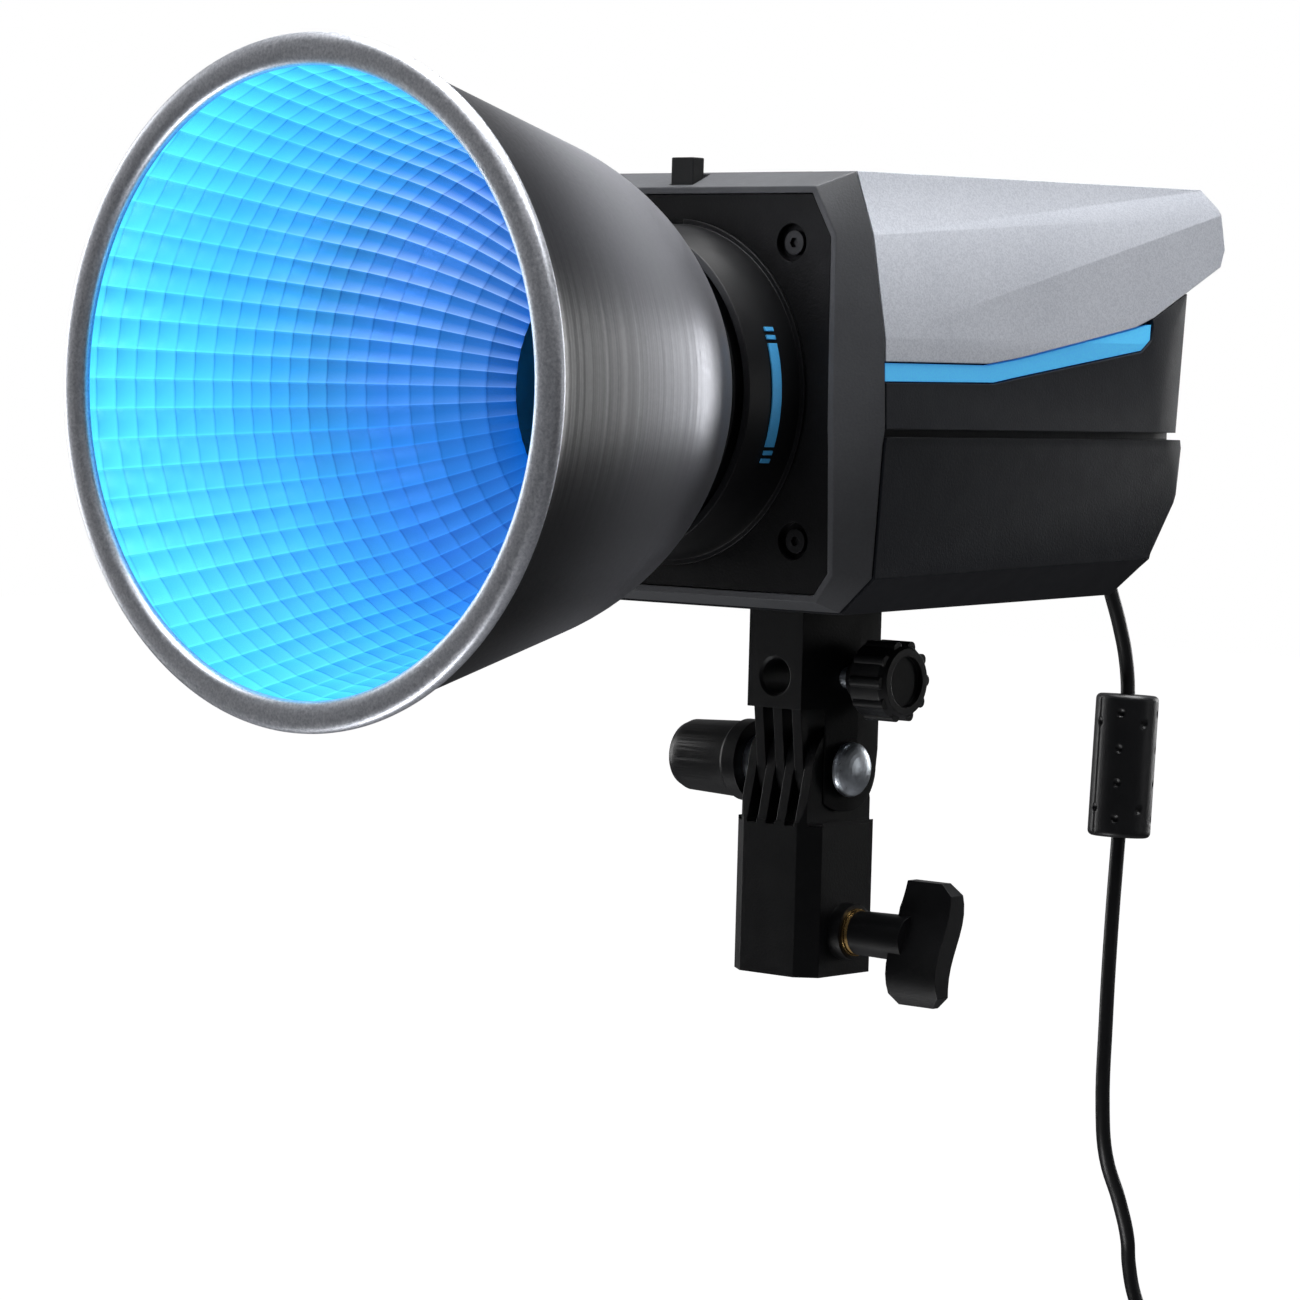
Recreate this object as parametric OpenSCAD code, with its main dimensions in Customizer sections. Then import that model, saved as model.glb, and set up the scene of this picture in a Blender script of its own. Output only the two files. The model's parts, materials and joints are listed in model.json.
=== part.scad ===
// LED spotlight with a bayonet reflector on a tilting stand bracket.
// Origin: centre of the stand receiver's mouth. +Z up, the beam leaves along -Y,
// +X is the side with the clamp knobs. Millimetres.

/* [Overall] */
// Height of the optical axis above the stand receiver's mouth
axis_z = 151.2; // [148:0.1:156]
// How far the lamp's front face stands ahead of the stand axis
face_ahead = 59; // [55:0.5:62]
// Height of the tilt bolt above the stand receiver's mouth
hinge_z = 54; // [53.5:0.1:54.5]

/* [Reflector] */
// Outer radius of the reflector's rolled rim
rim_r = 81; // [80:0.5:82]
// Distance from the lamp's front face to the front of the rim
rim_ahead = 133.5; // [132:0.5:134]
// Thickness of the spun bowl
bowl_t = 1.2; // [1:0.1:1.6]
// Radius of the opening inside the rolled rim
lip_r = 74; // [73:0.1:74.5]
// Number of flat facets around the inside of the bowl
facets = 60; // [48:6:60]
// Outer radius of the bowl's neck
neck_r = 36.9; // [36.6:0.05:37]

/* [Mount collar] */
// Outer radius of the collar where it meets the front plate
collar_base_r = 42.3; // [42:0.1:43]
// Outer radius of the collar's front edge
collar_front_r = 41.4; // [41.2:0.1:42]
// Inner radius of the collar
collar_in_r = 39.4; // [39.3:0.05:39.6]
// How far the collar stands out of the front plate
collar_len = 19; // [18:0.5:20]

/* [Lamp body] */
// Wall of the moulded shells
wall = 2.2; // [1.8:0.1:2.4]
// Depth of the front bezel
bezel_d = 9.3; // [9:0.1:10]
// Distance from the front face to the rear face of the body
body_d = 137; // [136:0.5:138]
// Distance from the front face to the rear tip of the side panels
hood_d = 163; // [160:0.5:165]
// Thickness of the side panels
panel_t = 1.9; // [1.6:0.1:2]
// Width of the top cover between the side panels
top_w = 72; // [68:1:74]

/* [Stand bracket] */
// Width of the bracket across the tilt bolt
bracket_w = 28.4; // [28:0.1:29]
// Depth of the stand receiver
receiver_d = 29.4; // [29:0.1:30]
// Height of the stand receiver's block
receiver_h = 40.4; // [40:0.1:40.6]
// Radius of the socket that takes a 16 mm stand spigot
spigot_bore_r = 8.1; // [8.05:0.01:8.2]
// Depth of that socket
spigot_bore_d = 34; // [32:0.5:35]
// Radius of the umbrella shaft's bore
umbrella_bore_r = 4.6; // [4.2:0.1:4.8]
// Height of the umbrella bore above the stand receiver's mouth
umbrella_z = 78; // [77.5:0.1:78.5]
// Height of the clamp screw above the stand receiver's mouth
clamp_z = 11.6; // [11:0.1:12]
// Radius of the tilt bolt's shank
bolt_r = 3; // [2.95:0.01:3]

/* [Cooling] */
// Side of the fan's square frame
fan_w = 80; // [76:1:80]
// Number of blades on the fan
fan_blades = 9; // [7:1:11]
// Number of fins on the heat sink
fins = 15; // [11:2:17]

/* [Cord] */
// Diameter of the low-voltage cord
cord_d = 4.2; // [4:0.1:4.4]

/* [Hidden] */
cover_reach = 36;             // past the lamp's side from the edge of the top
$fn = 48;
run = 0.05;        // radial clearance of a turning fit
gap = 0.4;         // seam between neighbouring covers
eps = 0.01;
face_y = -face_ahead;

// Right half of the body's outline, (x, z) from the optical axis, bottom to top.
face_half = [[48.5, -50.6], [53.6, -43.8], [52.6, -12], [52.3, -7.6],
             [51.9, 14.8], [51.7, 39.4], [44.8, 51.4]];
body_half = [[48.7, -53.4], [58.6, -44.3], [60.7, -11.8], [61.4, -7.6],
             [60.4, 14.8], [55.8, 39.8], [50, 55.5]];
rear_half = [[48.7, -49.6], [58.6, -39.8], [60.7, -11.8], [61.4, -7.6],
             [60.4, 16], [54.6, 51.4], [50, 58]];
seam_top = -7.6;   // groove between the shells, from the optical axis
seam_bottom = -9.5;
split_y = 126.4;     // where the covers' sides turn in towards the rear
rear_taper = 0.2;    // how much they turn in
rear_low = 138;      // rear edge of the upper cover at the seam
rear_lean = 0.126;   // and how much it leans back

// Side view of the covers, (y, z) from the front face and the optical axis.
panel_low = [[9.7, 9], [52, 9.2], [66, 11.1], [117, 19.9], [126, 22.7], [135, 26.6],
             [160, 37.2]];
panel_top = [[hood_d, 42], [hood_d, 53], [hood_d - 4, 59], [9.7, 59]];
accent_low = [[9.7, 4.1], [54, 4.5], [66.5, 6.4], [119, 13.9], [123.4, 16.8],
              [124.6, 20.8]];

// Bowl outside: an arc from the neck, then a straight flare to the rim.
arc_r = 84;
arc_y = -83.8;
arc_c = -19.5;
neck_end = -20.4;
flare_y = -63;
rim_front = -rim_ahead;
rim_back = rim_front + 6.4;
flare_slope = 0.2556;
ring_step = 5.35;   // axial length of one facet

layer = bracket_w / 9;        // nine interleaved fingers fill the bracket
finger_t = layer - 0.2;
ear_r = 11.2;                 // round ends of the fingers
upper_z = hinge_z + 15.7;     // underside of the upper block
pad_z = axis_z - 52.8;        // flat pad under the lamp
knob_x = bracket_w / 2;

// Cord route: strain relief, droop, fall through the ferrite, down to the coil.
exit_y = 108;
cord_z = 121;
route = [[0, 108, 121], [0.3, 115.6, 119.7], [1.5, 121.8, 115.4], [3.2, 125.2, 109],
         [4.9, 126.3, 102.5], [6.4, 127.3, 96.5], [7.8, 129.6, 88.1], [8.5, 132.4, 77.9],
         [8.8, 133.4, 68.4], [8.8, 131.05, 28], [8.8, 129, 1.8], [8.8, 127.8, -24.8],
         [8.8, 127.7, -50.5], [8.8, 130, -63.4], [8.8, 137.5, -77.6], [8.8, 142.2, -89.1],
         [8.8, 143.2, -96], [10.4, 144.6, -106], [14.2, 147.4, -116.5],
         [17.3, 151, -125.5], [17.2, 156.25, -132.25]];
ferrite_top = route[8];
ferrite_low = route[9];
ferrite_r = 8.9;
coil_at = [8.8, 138.5, -150];
coil_r = 23;                  // middle of the coil's turns
coil_deep = 4.2;              // half the bundle of turns, towards its axis
coil_half = 10.5;             // half the bundle of turns, along its axis
lead_out = [[17.2, 159.4, -150], [19, 159.4, -156], [21, 159.4, -163], [21.8, 159.4, -171],
            [21.8, 159.4, -189]];

// ---- helpers -------------------------------------------------------------

// Full outline from its right half, counter-clockwise.
function mirrored(half) =
    concat(half, [for (i = [len(half) - 1 : -1 : 0]) [-half[i][0], half[i][1]]]);

// Convex outline moved inwards by d.
function cross_at(p, u, q, v) =
    let (w = u[0] * v[1] - u[1] * v[0],
         t = ((q[0] - p[0]) * v[1] - (q[1] - p[1]) * v[0]) / w)
    [p[0] + t * u[0], p[1] + t * u[1]];
function inset(pts, d) =
    let (n = len(pts))
    [for (i = [0 : n - 1])
        let (a = pts[(i + n - 1) % n], b = pts[i], c = pts[(i + 1) % n],
             u = (b - a) / norm(b - a), v = (c - b) / norm(c - b),
             p = b + d * [-u[1], u[0]], q = b + d * [-v[1], v[0]])
        cross_at(p, u, q, v)];

// Solid between outline a at y = ya and outline b at y = yb.
module loft(a, b, ya, yb) {
    n = len(a);
    pts = concat([for (p = a) [p[0], ya, p[1]]], [for (p = b) [p[0], yb, p[1]]]);
    sides = [for (i = [0 : n - 1], k = [0, 1])
        let (j = (i + 1) % n) k == 0 ? [i, j, j + n] : [i, j + n, i + n]];
    polyhedron(pts, concat([[for (i = [n - 1 : -1 : 0]) i]],
                           [[for (i = [n : 2 * n - 1]) i]], sides));
}

// (y, z) outline extruded along X between x0 and x1.
module side_slab(pts, x0, x1) {
    translate([x0, 0, 0]) rotate([90, 0, 90]) linear_extrude(height = x1 - x0) polygon(pts);
}

// (x, z) outline extruded along Y between y0 and y1.
module front_slab(pts, y0, y1) {
    translate([0, y1, 0]) rotate([90, 0, 0]) linear_extrude(height = y1 - y0) polygon(pts);
}

// (x, y) outline extruded along Z between z0 and z1.
module plan_slab(pts, z0, z1) {
    translate([0, 0, z0]) linear_extrude(height = z1 - z0) polygon(pts);
}

// Box by its two corners.
module box(a, b) { translate(a) cube(b - a); }

// Cylinder or cone along Y, and along X.
module rod_y(y0, y1, r0, r1 = -1) {
    translate([0, y1, 0]) rotate([90, 0, 0])
        cylinder(h = y1 - y0, r1 = r1 < 0 ? r0 : r1, r2 = r0);
}
module rod_x(x0, x1, r0, r1 = -1) {
    translate([x0, 0, 0]) rotate([0, 90, 0])
        cylinder(h = x1 - x0, r1 = r0, r2 = r1 < 0 ? r0 : r1);
}

// Profile of (radius, y) points turned about the optical axis.
module turned_y(pts, turn_fn = 120) {
    rotate([-90, 0, 0]) rotate_extrude($fn = turn_fn) polygon(pts);
}

// Ring sector about the optical axis between two angles from +X.
module sector_y(r0, r1, y0, y1, mid, half_angle) {
    steps = 8;
    inner = [for (i = [0 : steps]) mid - half_angle + 2 * half_angle * i / steps];
    big = r1 + 10;
    wedge = concat([[0, 0]], [for (a = inner) big * [cos(a), sin(a)]]);
    intersection() {
        difference() {
            rod_y(y0, y1, r1, $fn = 96);
            rod_y(y0 - 1, y1 + 1, r0, $fn = 96);
        }
        front_slab(wedge, y0 - 2, y1 + 2);
    }
}

module at_lamp() { translate([0, face_y, axis_z]) children(); }
module at_bolt() { translate([0, 0, hinge_z]) children(); }
module at_umbrella() { translate([0, 0, umbrella_z]) children(); }
module at_clamp() { translate([0, 0, clamp_z]) children(); }

// ---- stand receiver ------------------------------------------------------

receiver_out = let (w = bracket_w / 2, d = receiver_d / 2, cx = 5.2, cy = 4.1)
    [[w - cx, -d], [w, -d + cy], [w, d - cy], [w - cx, d],
     [cx - w, d], [-w, d - cy], [-w, cy - d], [cx - w, -d]];

// One finger in layer i, wide_z from the bolt towards its root.
module finger(i, root_half, root_z) {
    x = (i - 4) * layer;
    at_bolt() difference() {
        union() {
            side_slab([[-root_half, root_z], [root_half, root_z],
                       [ear_r, 0], [-ear_r, 0]], x - finger_t / 2, x + finger_t / 2);
            rod_x(x - finger_t / 2, x + finger_t / 2, ear_r);
        }
        rod_x(x - finger_t, x + finger_t, bolt_r + run);
    }
}

module stand_receiver() {
    color("#26282c") union() {
        difference() {
            plan_slab(receiver_out, 0, receiver_h);
            translate([0, 0, -1]) cylinder(h = spigot_bore_d + 1, r = spigot_bore_r, $fn = 64);
            for (i = [0 : 2 : 8])
                translate([(i - 4) * layer - layer / 2 + eps, -20, receiver_h - 1])
                    cube([layer - 2 * eps, 40, 2]);
            at_clamp() rod_x(4, 20, 4.05);
            at_clamp() rod_x(13, 20, 6.2);
        }
        intersection() {
            for (i = [1 : 2 : 7]) finger(i, receiver_d / 2, receiver_h - 1.4 - hinge_z);
            plan_slab(receiver_out, 0, 90);
        }
        at_clamp() difference() {
            rod_x(knob_x - 0.5, knob_x + 3.4, 7.6, 7.2);
            rod_x(13, 20, 6.2);
        }
    }
}

module receiver_bush() {
    color("#b08d45") at_clamp() difference() {
        union() { rod_x(13, 18.3, 6.2); rod_x(18.3, 19, 5.6, 5.2); }
        rod_x(12, 20, 4.05);
    }
}

wing_top = 15.2;
wing_bottom = -16.9;
// S-shaped section of the wing, (y, z) from the screw.
function wing_side(s) = [for (k = [0 : 12])
    let (z = wing_bottom + (wing_top - wing_bottom) * (s > 0 ? k : 12 - k) / 12)
    [2.85 * sin(180 * z / 19.6) + s * (0.3 + 3.2 * sqrt(1 - pow(z / 17.4, 2))), z]];

module clamp_knob() {
    round_r = 3;
    x0 = 32.4;
    x1 = 48.5;
    color("#15161a") at_clamp() difference() {
        union() {
            rod_x(19.4, x0 + 4, 5.8, 6.1);
            intersection() {
                side_slab(concat(wing_side(1), wing_side(-1)), x0, x1);
                translate([0, 20, 0]) rotate([90, 0, 0]) linear_extrude(height = 40) {
                    polygon([[x0, -14], [x0 + 2, wing_bottom], [x1 - round_r, wing_bottom],
                             [x1, wing_bottom + round_r], [x1, wing_top - round_r],
                             [x1 - round_r, wing_top], [x0 + 2, wing_top], [x0, 8]]);
                }
            }
        }
        rod_x(19, 30, 3.97);
    }
}

module clamp_screw() {
    color("#8f9296") at_clamp() union() { rod_x(10.1, 29, 3.97); rod_x(9.4, 10.1, 3.6, 3.97); }
}

module clamp_pad() { color("#b08d45") at_clamp() rod_x(8.15, 9.4, 3.97); }

// ---- tilting bracket -----------------------------------------------------

post_out = [[9, -14.5], [knob_x, 3.4], [knob_x, 11.7], [10.5, 15], [-10.5, 15],
            [-knob_x, 11.7], [-knob_x, 3.4], [-9, -14.5]];

module tilt_bracket() {
    color("#1d1f23") union() {
        difference() {
            plan_slab(post_out, upper_z, pad_z);
            at_umbrella() rod_y(-16, 16, umbrella_bore_r);
            at_umbrella() rod_y(-14.6, -13.8, umbrella_bore_r + 0.8, umbrella_bore_r);
            at_umbrella() rod_y(14.3, 15.1, umbrella_bore_r, umbrella_bore_r + 0.8);
            at_umbrella() rod_x(3.5, 16, 3.05);
            for (s = [-1, 1]) translate([s * 8, 6, pad_z - 10])
                cylinder(h = 11, r = 2);
        }
        intersection() {
            for (i = [0 : 2 : 8]) finger(i, 13.2, upper_z + 0.5 - hinge_z);
            plan_slab(post_out, 30, 90);
        }
    }
}

module bracket_screws() {
    color("#8f9296") for (s = [-1, 1]) translate([s * 8, 6, 0]) {
        translate([0, 0, pad_z - 9]) cylinder(h = 13.5, r = 2);
        translate([0, 0, pad_z + 4.4]) cylinder(h = 2.2, r = 3.4);
    }
}

module tilt_bolt() {
    head_r = 7.2;
    head_x = 4 * layer + finger_t / 2;
    dome = [for (a = [0 : 10 : 90]) [head_r * cos(a), 0.6 + 3.6 * sin(a)]];
    color("#b9bec4") at_bolt() union() {
        rod_x(-34, head_x + eps, bolt_r);
        translate([head_x, 0, 0]) rotate([0, 90, 0])
            rotate_extrude() polygon(concat([[0, 0], [head_r, 0]], dome));
    }
}

module tilt_lever() {
    hub = [[0, -16.2], [10.9, -16.2], [10.9, -20.5], [10.2, -21.5], [9.5, -38.5],
           [8.6, -40.6], [6.6, -41.8], [0, -41.8]];
    color("#17181b") at_bolt() difference() {
        union() {
            rotate([0, -90, 0]) rotate_extrude() polygon([for (p = hub) [p[0], -p[1]]]);
            hull() {
                translate([-28, 2, 0]) sphere(r = 6.4, $fn = 32);
                translate([-31, 20, 0]) sphere(r = 4.6, $fn = 32);
            }
            hull() {
                translate([-31, 20, 0]) sphere(r = 4.6, $fn = 32);
                translate([-32.5, 36, 0]) sphere(r = 5, $fn = 32);
            }
        }
        rod_x(-34.5, -16, 5);
        rod_x(-42, -34, 3.9);
    }
}

module lever_insert() {
    color("#9a9da1") at_bolt() difference() {
        union() { rod_x(-34, -16.2, 5); rod_x(-16.2, -14.5, 7.2); }
        rod_x(-35, -14, bolt_r + run);
    }
}

module lever_screw() {
    color("#9a9da1") at_bolt() difference() {
        rod_x(-41.4, -34.6, 3.8);
        rotate([0, 90, 0]) translate([0, 0, -42]) cylinder(h = 3.4, r = 1.7, $fn = 6);
    }
}

module umbrella_knob() {
    lobes = 10;
    x0 = 21;
    x1 = 32.2;
    color("#141518") at_umbrella() difference() {
        union() {
            rod_x(16.2, x0 + 0.1, 5.4, 6.4);
            rod_x(x0, x1 - 2, 10);
            rod_x(x1 - 2, x1, 10, 8.6);
            for (k = [0 : lobes - 1]) rotate([k * 360 / lobes, 0, 0]) translate([0, 9.2, 0])
                rod_x(x0 + 0.6, x1 - 1, 1.6);
        }
        rod_x(15, 26, 2.97);
        rod_x(x1 - 1.6, x1 + 1, 6.6);
    }
}

module umbrella_screw() {
    color("#8f9296") at_umbrella() rod_x(6.3, 25.6, 2.97);
}

module umbrella_pad() { color("#b08d45") at_umbrella() rod_x(5, 6.3, 2.97); }

// ---- front of the lamp ---------------------------------------------------

plate_y1 = 4.2;
tab_w = 7.2;
tab_y0 = 1.9;
tab_y1 = 6.3;
tab_travel = 1.8;
pin_z = 38.2;

// Slot the release tab slides back in.
module tab_slot(top_z) {
    box([-tab_w / 2 - 0.3, tab_y0 - 0.3, 40], [tab_w / 2 + 0.3, tab_y1 + tab_travel + 0.3,
        top_z]);
}

module front_bezel() {
    outer_f = mirrored(face_half);
    outer_r = mirrored(body_half);
    color("#3a3d43") at_lamp() difference() {
        union() {
            loft(outer_f, outer_r, 0, bezel_d);
            loft(inset(outer_r, 0.6), inset(outer_r, 0.6), bezel_d - 0.1, cover_y);
        }
        loft(inset(outer_f, 1.7), inset(outer_f, 1.7), -1, plate_y1);
        loft(inset(outer_f, 4.2), inset(outer_r, 4.2), plate_y1 - 0.1, bezel_d + 1);
        tab_slot(60);
    }
}

plate_holes = [[37.5, 37.6], [40.5, -35.8], [-40.5, -35.8], [-37.5, 37.6]];

module front_plate() {
    plate = inset(mirrored(face_half), 1.9);
    color("#1b1c20") at_lamp() difference() {
        union() {
            loft(plate, plate, 0.3, plate_y1);
            for (p = plate_holes) translate([p[0], 0, p[1]]) rod_y(plate_y1 - 1, sink_y0, 4);
        }
        rod_y(-1, 6, 32, $fn = 96);
        for (p = plate_holes) translate([p[0], 0, p[1]]) {
            rod_y(-1, 2.6, 4.7);
            rod_y(-1, 6, 1.75);
        }
        box([-tab_w / 2 - 0.3, tab_y0 - 0.3, pin_z - 2.3], [tab_w / 2 + 0.3, 6, 60]);
        translate([0, 0, pin_z]) rod_y(-1, 3, 1.9 + run);
    }
}

module front_screws() {
    color("#8f9296") at_lamp() for (p = plate_holes) translate([p[0], 0, p[1]])
        difference() {
            union() { rod_y(1.2, 2.6, 3); rod_y(2.5, 10.4, 1.75); }
            translate([0, 2.2, 0]) rotate([90, 0, 0]) cylinder(h = 2, r = 1.3, $fn = 6);
        }
}

lug_angles = [90, 210, 330];

module mount_collar() {
    color("#202226") at_lamp() union() {
        difference() {
            union() {
                rod_y(-collar_len, 0.3, collar_front_r, collar_base_r, $fn = 96);
                rod_y(-0.6, 0.3, collar_base_r + 1.2, $fn = 96);
            }
            rod_y(-collar_len - 1, 1, collar_in_r, $fn = 96);
            box([-3, -3.2, 36], [3, 1, 44]);
        }
        for (a = lug_angles)
            sector_y(neck_r + 0.6, collar_in_r + 0.4, -8.2, -5.6, a, 25);
        difference() {
            rod_y(0.3 - 1.4, 0.3, collar_in_r + 0.2, $fn = 96);
            rod_y(-2, 1, 32, $fn = 96);
            box([-3, -3.2, 30], [3, 1, 44]);
        }
    }
}

module collar_marks() {
    mark_r = 42.25;
    color("#57b8ea") at_lamp() for (s = [0, 180]) rotate([0, s, 0]) {
        sector_y(mark_r - 0.35, mark_r, -11.1, -7.7, 0, 17.5);
        for (a = [-22.5, -19.6, 19.6, 22.5])
            sector_y(mark_r - 0.35, mark_r, -11.1, -7.7, a, 0.75);
    }
}

// Outer radius of the bowl at y.
function bowl_r(y) = y > flare_y ? arc_c + sqrt(arc_r * arc_r - pow(y - arc_y, 2))
                                 : bowl_r(flare_y + eps) + flare_slope * (flare_y - y);

module reflector_bowl() {
    bead = [[rim_r - 2.6, rim_back], [rim_r - 0.8, rim_back + 0.3], [rim_r, rim_back - 1.2],
            [rim_r, rim_front + 2.6], [rim_r - 0.8, rim_front + 0.8],
            [rim_r - 2.4, rim_front], [lip_r + 1.6, rim_front], [lip_r + 0.4, rim_front + 0.5],
            [lip_r, rim_front + 1.8], [lip_r + 0.4, rim_front + 3.2],
            [bowl_r(rim_back - 2) - bowl_t, rim_front + 4.4]];
    outer_y = [for (k = [0 : 24]) neck_end + (rim_back - neck_end) * k / 24];
    inner_y = [for (k = [0 : 20]) rim_back + (neck_end - rim_back) * k / 20];
    profile = concat([for (y = outer_y) [bowl_r(y), y]], bead,
                     [for (y = inner_y) [bowl_r(y) - bowl_t, y]]);
    color("#4a4c52") at_lamp() turned_y([for (p = profile) [p[0], p[1]]]);
}

module reflector_ring() {
    wall_r = neck_r - 1.6;
    color("#33353a") at_lamp() union() {
        difference() {
            union() {
                rod_y(-19, -1.6, neck_r, $fn = 96);
                rod_y(neck_end, -19 + eps, bowl_r(neck_end) - 0.2, neck_r, $fn = 96);
            }
            rod_y(-22, 0, wall_r - 1.2, $fn = 96);
        }
        for (a = lug_angles) sector_y(neck_r - 0.4, collar_in_r - 0.35, -5.3, -3, a, 22);
    }
}

module release_tab() {
    color("#2c2e33") at_lamp() union() {
        box([-tab_w / 2, tab_y0, 47.4], [tab_w / 2, tab_y1, 59]);
        box([-2.4, tab_y0, pin_z - 1.2], [2.4, 4.6, 47.5]);
    }
}

module lock_pin() {
    color("#b9bec4") at_lamp() translate([0, 0, pin_z]) rod_y(-1.2, tab_y0, 1.9);
}

module release_spring() {
    turns = 5;
    y0 = 4.6;
    y1 = 10;
    wire = 0.3;
    color("#b9bec4") at_lamp() translate([0, 0, pin_z]) union() {
        for (k = [0 : turns - 1])
            translate([0, y0 + wire + k * (y1 - y0 - 2 * wire) / (turns - 1), 0])
                rotate([90, 0, 0])
                    rotate_extrude($fn = 24) translate([1.4, 0]) circle(r = wire, $fn = 16);
        translate([1.4, 0, 0]) rod_y(y0, y1, 0.25, $fn = 16);
    }
}

// ---- light engine and cooling -------------------------------------------

module led_chip() {
    color("#d8c64a") at_lamp() union() {
        box([-14, 4.2, -14], [14, 5.8, 14]);
        rod_y(3.4, 4.3, 9.5, $fn = 64);
        for (s = [-1, 1]) box([s * 11 - 1.6, 4.12, -12], [s * 11 + 1.6, 4.25, -8]);
    }
}

module led_holder() {
    color("#e6e6e2") at_lamp() difference() {
        rod_y(1, 5.8, 30, $fn = 96);
        rod_y(4.1, 6, 20.4, $fn = 64);
        rod_y(0.9, 4.2, 21.6, 13.5, $fn = 64);
        rod_y(0.9, 2.4, 24, $fn = 64);
        for (a = [45, 225]) rotate([0, a, 0]) translate([26.5, 0, 0]) rod_y(0, 6, 1.7);
    }
}

module led_glass() { color([0.8, 0.9, 1, 0.4]) at_lamp() rod_y(1, 2.35, 23.9, $fn = 96); }

sink_y0 = 5.8;
sink_y1 = 11;
sink_y2 = 50;
sink_w = 44.5;
pipe_z = [-13, 13];
pipe_ys = [8.2, 21.8];
pipe_r = 2.2;

module heat_sink() {
    half_h = 41.6;
    pitch = 2 * (sink_w - 0.7) / (fins - 1);
    color("#a9adb2") at_lamp() difference() {
        union() {
            box([-sink_w, sink_y0, -half_h], [sink_w, sink_y1, half_h]);
            for (k = [0 : fins - 1])
                translate([-sink_w + k * pitch, sink_y1 - 0.5, -half_h + 2])
                    cube([1.4, sink_y2 - sink_y1 + 0.5, 2 * half_h - 4]);
        }
        for (z = pipe_z, y = pipe_ys) translate([0, y, z]) rod_x(-50, 50, pipe_r + run);
        for (p = plate_holes) translate([p[0], 0, p[1]]) rod_y(5, 10.6, 1.75);
        box([-4, 5, pin_z - 3.4], [4, 10, 42]);
    }
}

module heat_pipes() {
    bend = (pipe_ys[1] - pipe_ys[0]) / 2;
    color("#b4713c") at_lamp() for (z = pipe_z) {
        for (y = pipe_ys) translate([0, y, z]) rod_x(-43, sink_w, pipe_r);
        translate([sink_w - eps, pipe_ys[0] + bend, z]) rotate([0, 0, -90])
            rotate_extrude(angle = 180, $fn = 64) translate([bend, 0])
                circle(r = pipe_r, $fn = 24);
    }
}

fan_y0 = 50;
fan_y1 = 65;
fan_mid = (fan_y0 + fan_y1) / 2;

module fan_frame() {
    h = fan_w / 2;
    color("#17181b") at_lamp() union() {
        difference() {
            box([-h, fan_y0, -h], [h, fan_y1, h]);
            rod_y(fan_y0 - 1, fan_y1 + 1, h - 2, $fn = 96);
            for (sx = [-1, 1], sz = [-1, 1]) translate([sx * (h - 4.2), 0, sz * (h - 4.2)])
                rod_y(fan_y0 - 1, fan_y1 + 1, 2.1);
        }
        rod_y(fan_y1 - 2.5, fan_y1, 17);
        for (k = [0 : 3]) rotate([0, 20 + k * 90, 0])
            box([15, fan_y1 - 2.5, -1.5], [h - 1.2, fan_y1, 1.5]);
        rod_y(fan_y0 + 4, fan_y1 - 1, 2);
    }
}

module fan_rotor() {
    color("#202226") at_lamp() difference() {
        union() {
            rod_y(fan_y0 + 0.6, fan_y1 - 3.2, 15.5, $fn = 64);
            for (k = [0 : fan_blades - 1]) rotate([0, k * 360 / fan_blades, 0])
                translate([0, fan_mid - 1.4, 0]) rotate([36, 0, 0])
                    box([14.6, -0.6, -6.6], [35.6, 0.6, 6.6]);
        }
        rod_y(fan_y0 + 3.4, fan_y1, 2 + run);
    }
}

// Circuit board in a frame of its own, with parts (x, y, dx, dy, height) on its top.
module board(w, d, t, parts) {
    box([-w / 2, 0, 0], [w / 2, d, t]);
    for (p = parts) box([p[0], p[1], t - eps], [p[0] + p[2], p[1] + p[3], t + p[4]]);
}

module driver_board() {
    can_r = 4.4;
    color("#1f5a34") at_lamp() translate([0, 76, -42]) {
        board(84, 40, 1.6, [[-38, 5, 16, 16, 9], [-18, 4, 10, 6, 4], [-16, 18, 20, 14, 11],
                            [22, 6, 14, 10, 5], [24, 22, 10, 12, 7]]);
        for (x = [-34, -24]) translate([x, 31, 1.5]) cylinder(h = 14, r = can_r, $fn = 32);
    }
}

control_y = 124;
rear_y0 = 132;
rear_y1 = 134.5;
dial_x = [-24, 24];
dial_z = -12;
key_x = [-26, -14, -2];
key_z = 10;

module control_board() {
    color("#1f5a34") at_lamp() union() {
        difference() {
            box([-42, control_y, -32], [42, control_y + 1.6, 44]);
            box([23, control_y - 1, -33], [43, control_y + 2, -19]);
            box([-9, control_y - 1, -33], [9, control_y + 2, -21]);
        }
        for (x = dial_x) translate([x, 0, dial_z]) {
            rod_y(control_y + 1.5, rear_y0 - 1.2, 6);
            rod_y(rear_y0 - 1.3, rear_y1 + 6, 3);
        }
        for (x = key_x) box([x - 3, control_y + 1.5, key_z - 3],
                            [x + 3, rear_y0 - 2.6, key_z + 3]);
        box([-38, control_y - 5, -4], [-22, control_y + 0.1, 6]);
    }
}

// ---- covers --------------------------------------------------------------

cover_y = bezel_d + gap;

// Outer form of the covers, d inside their surface.
module body_form(d) {
    loft(inset(mirrored(body_half), d), inset(mirrored(rear_half), d), bezel_d, hood_d + 1);
}

// Half width of the covers at y behind the turn, d inside their surface.
function rear_x(d, y) = 61.4 - d - rear_taper * (y - split_y);

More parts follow.
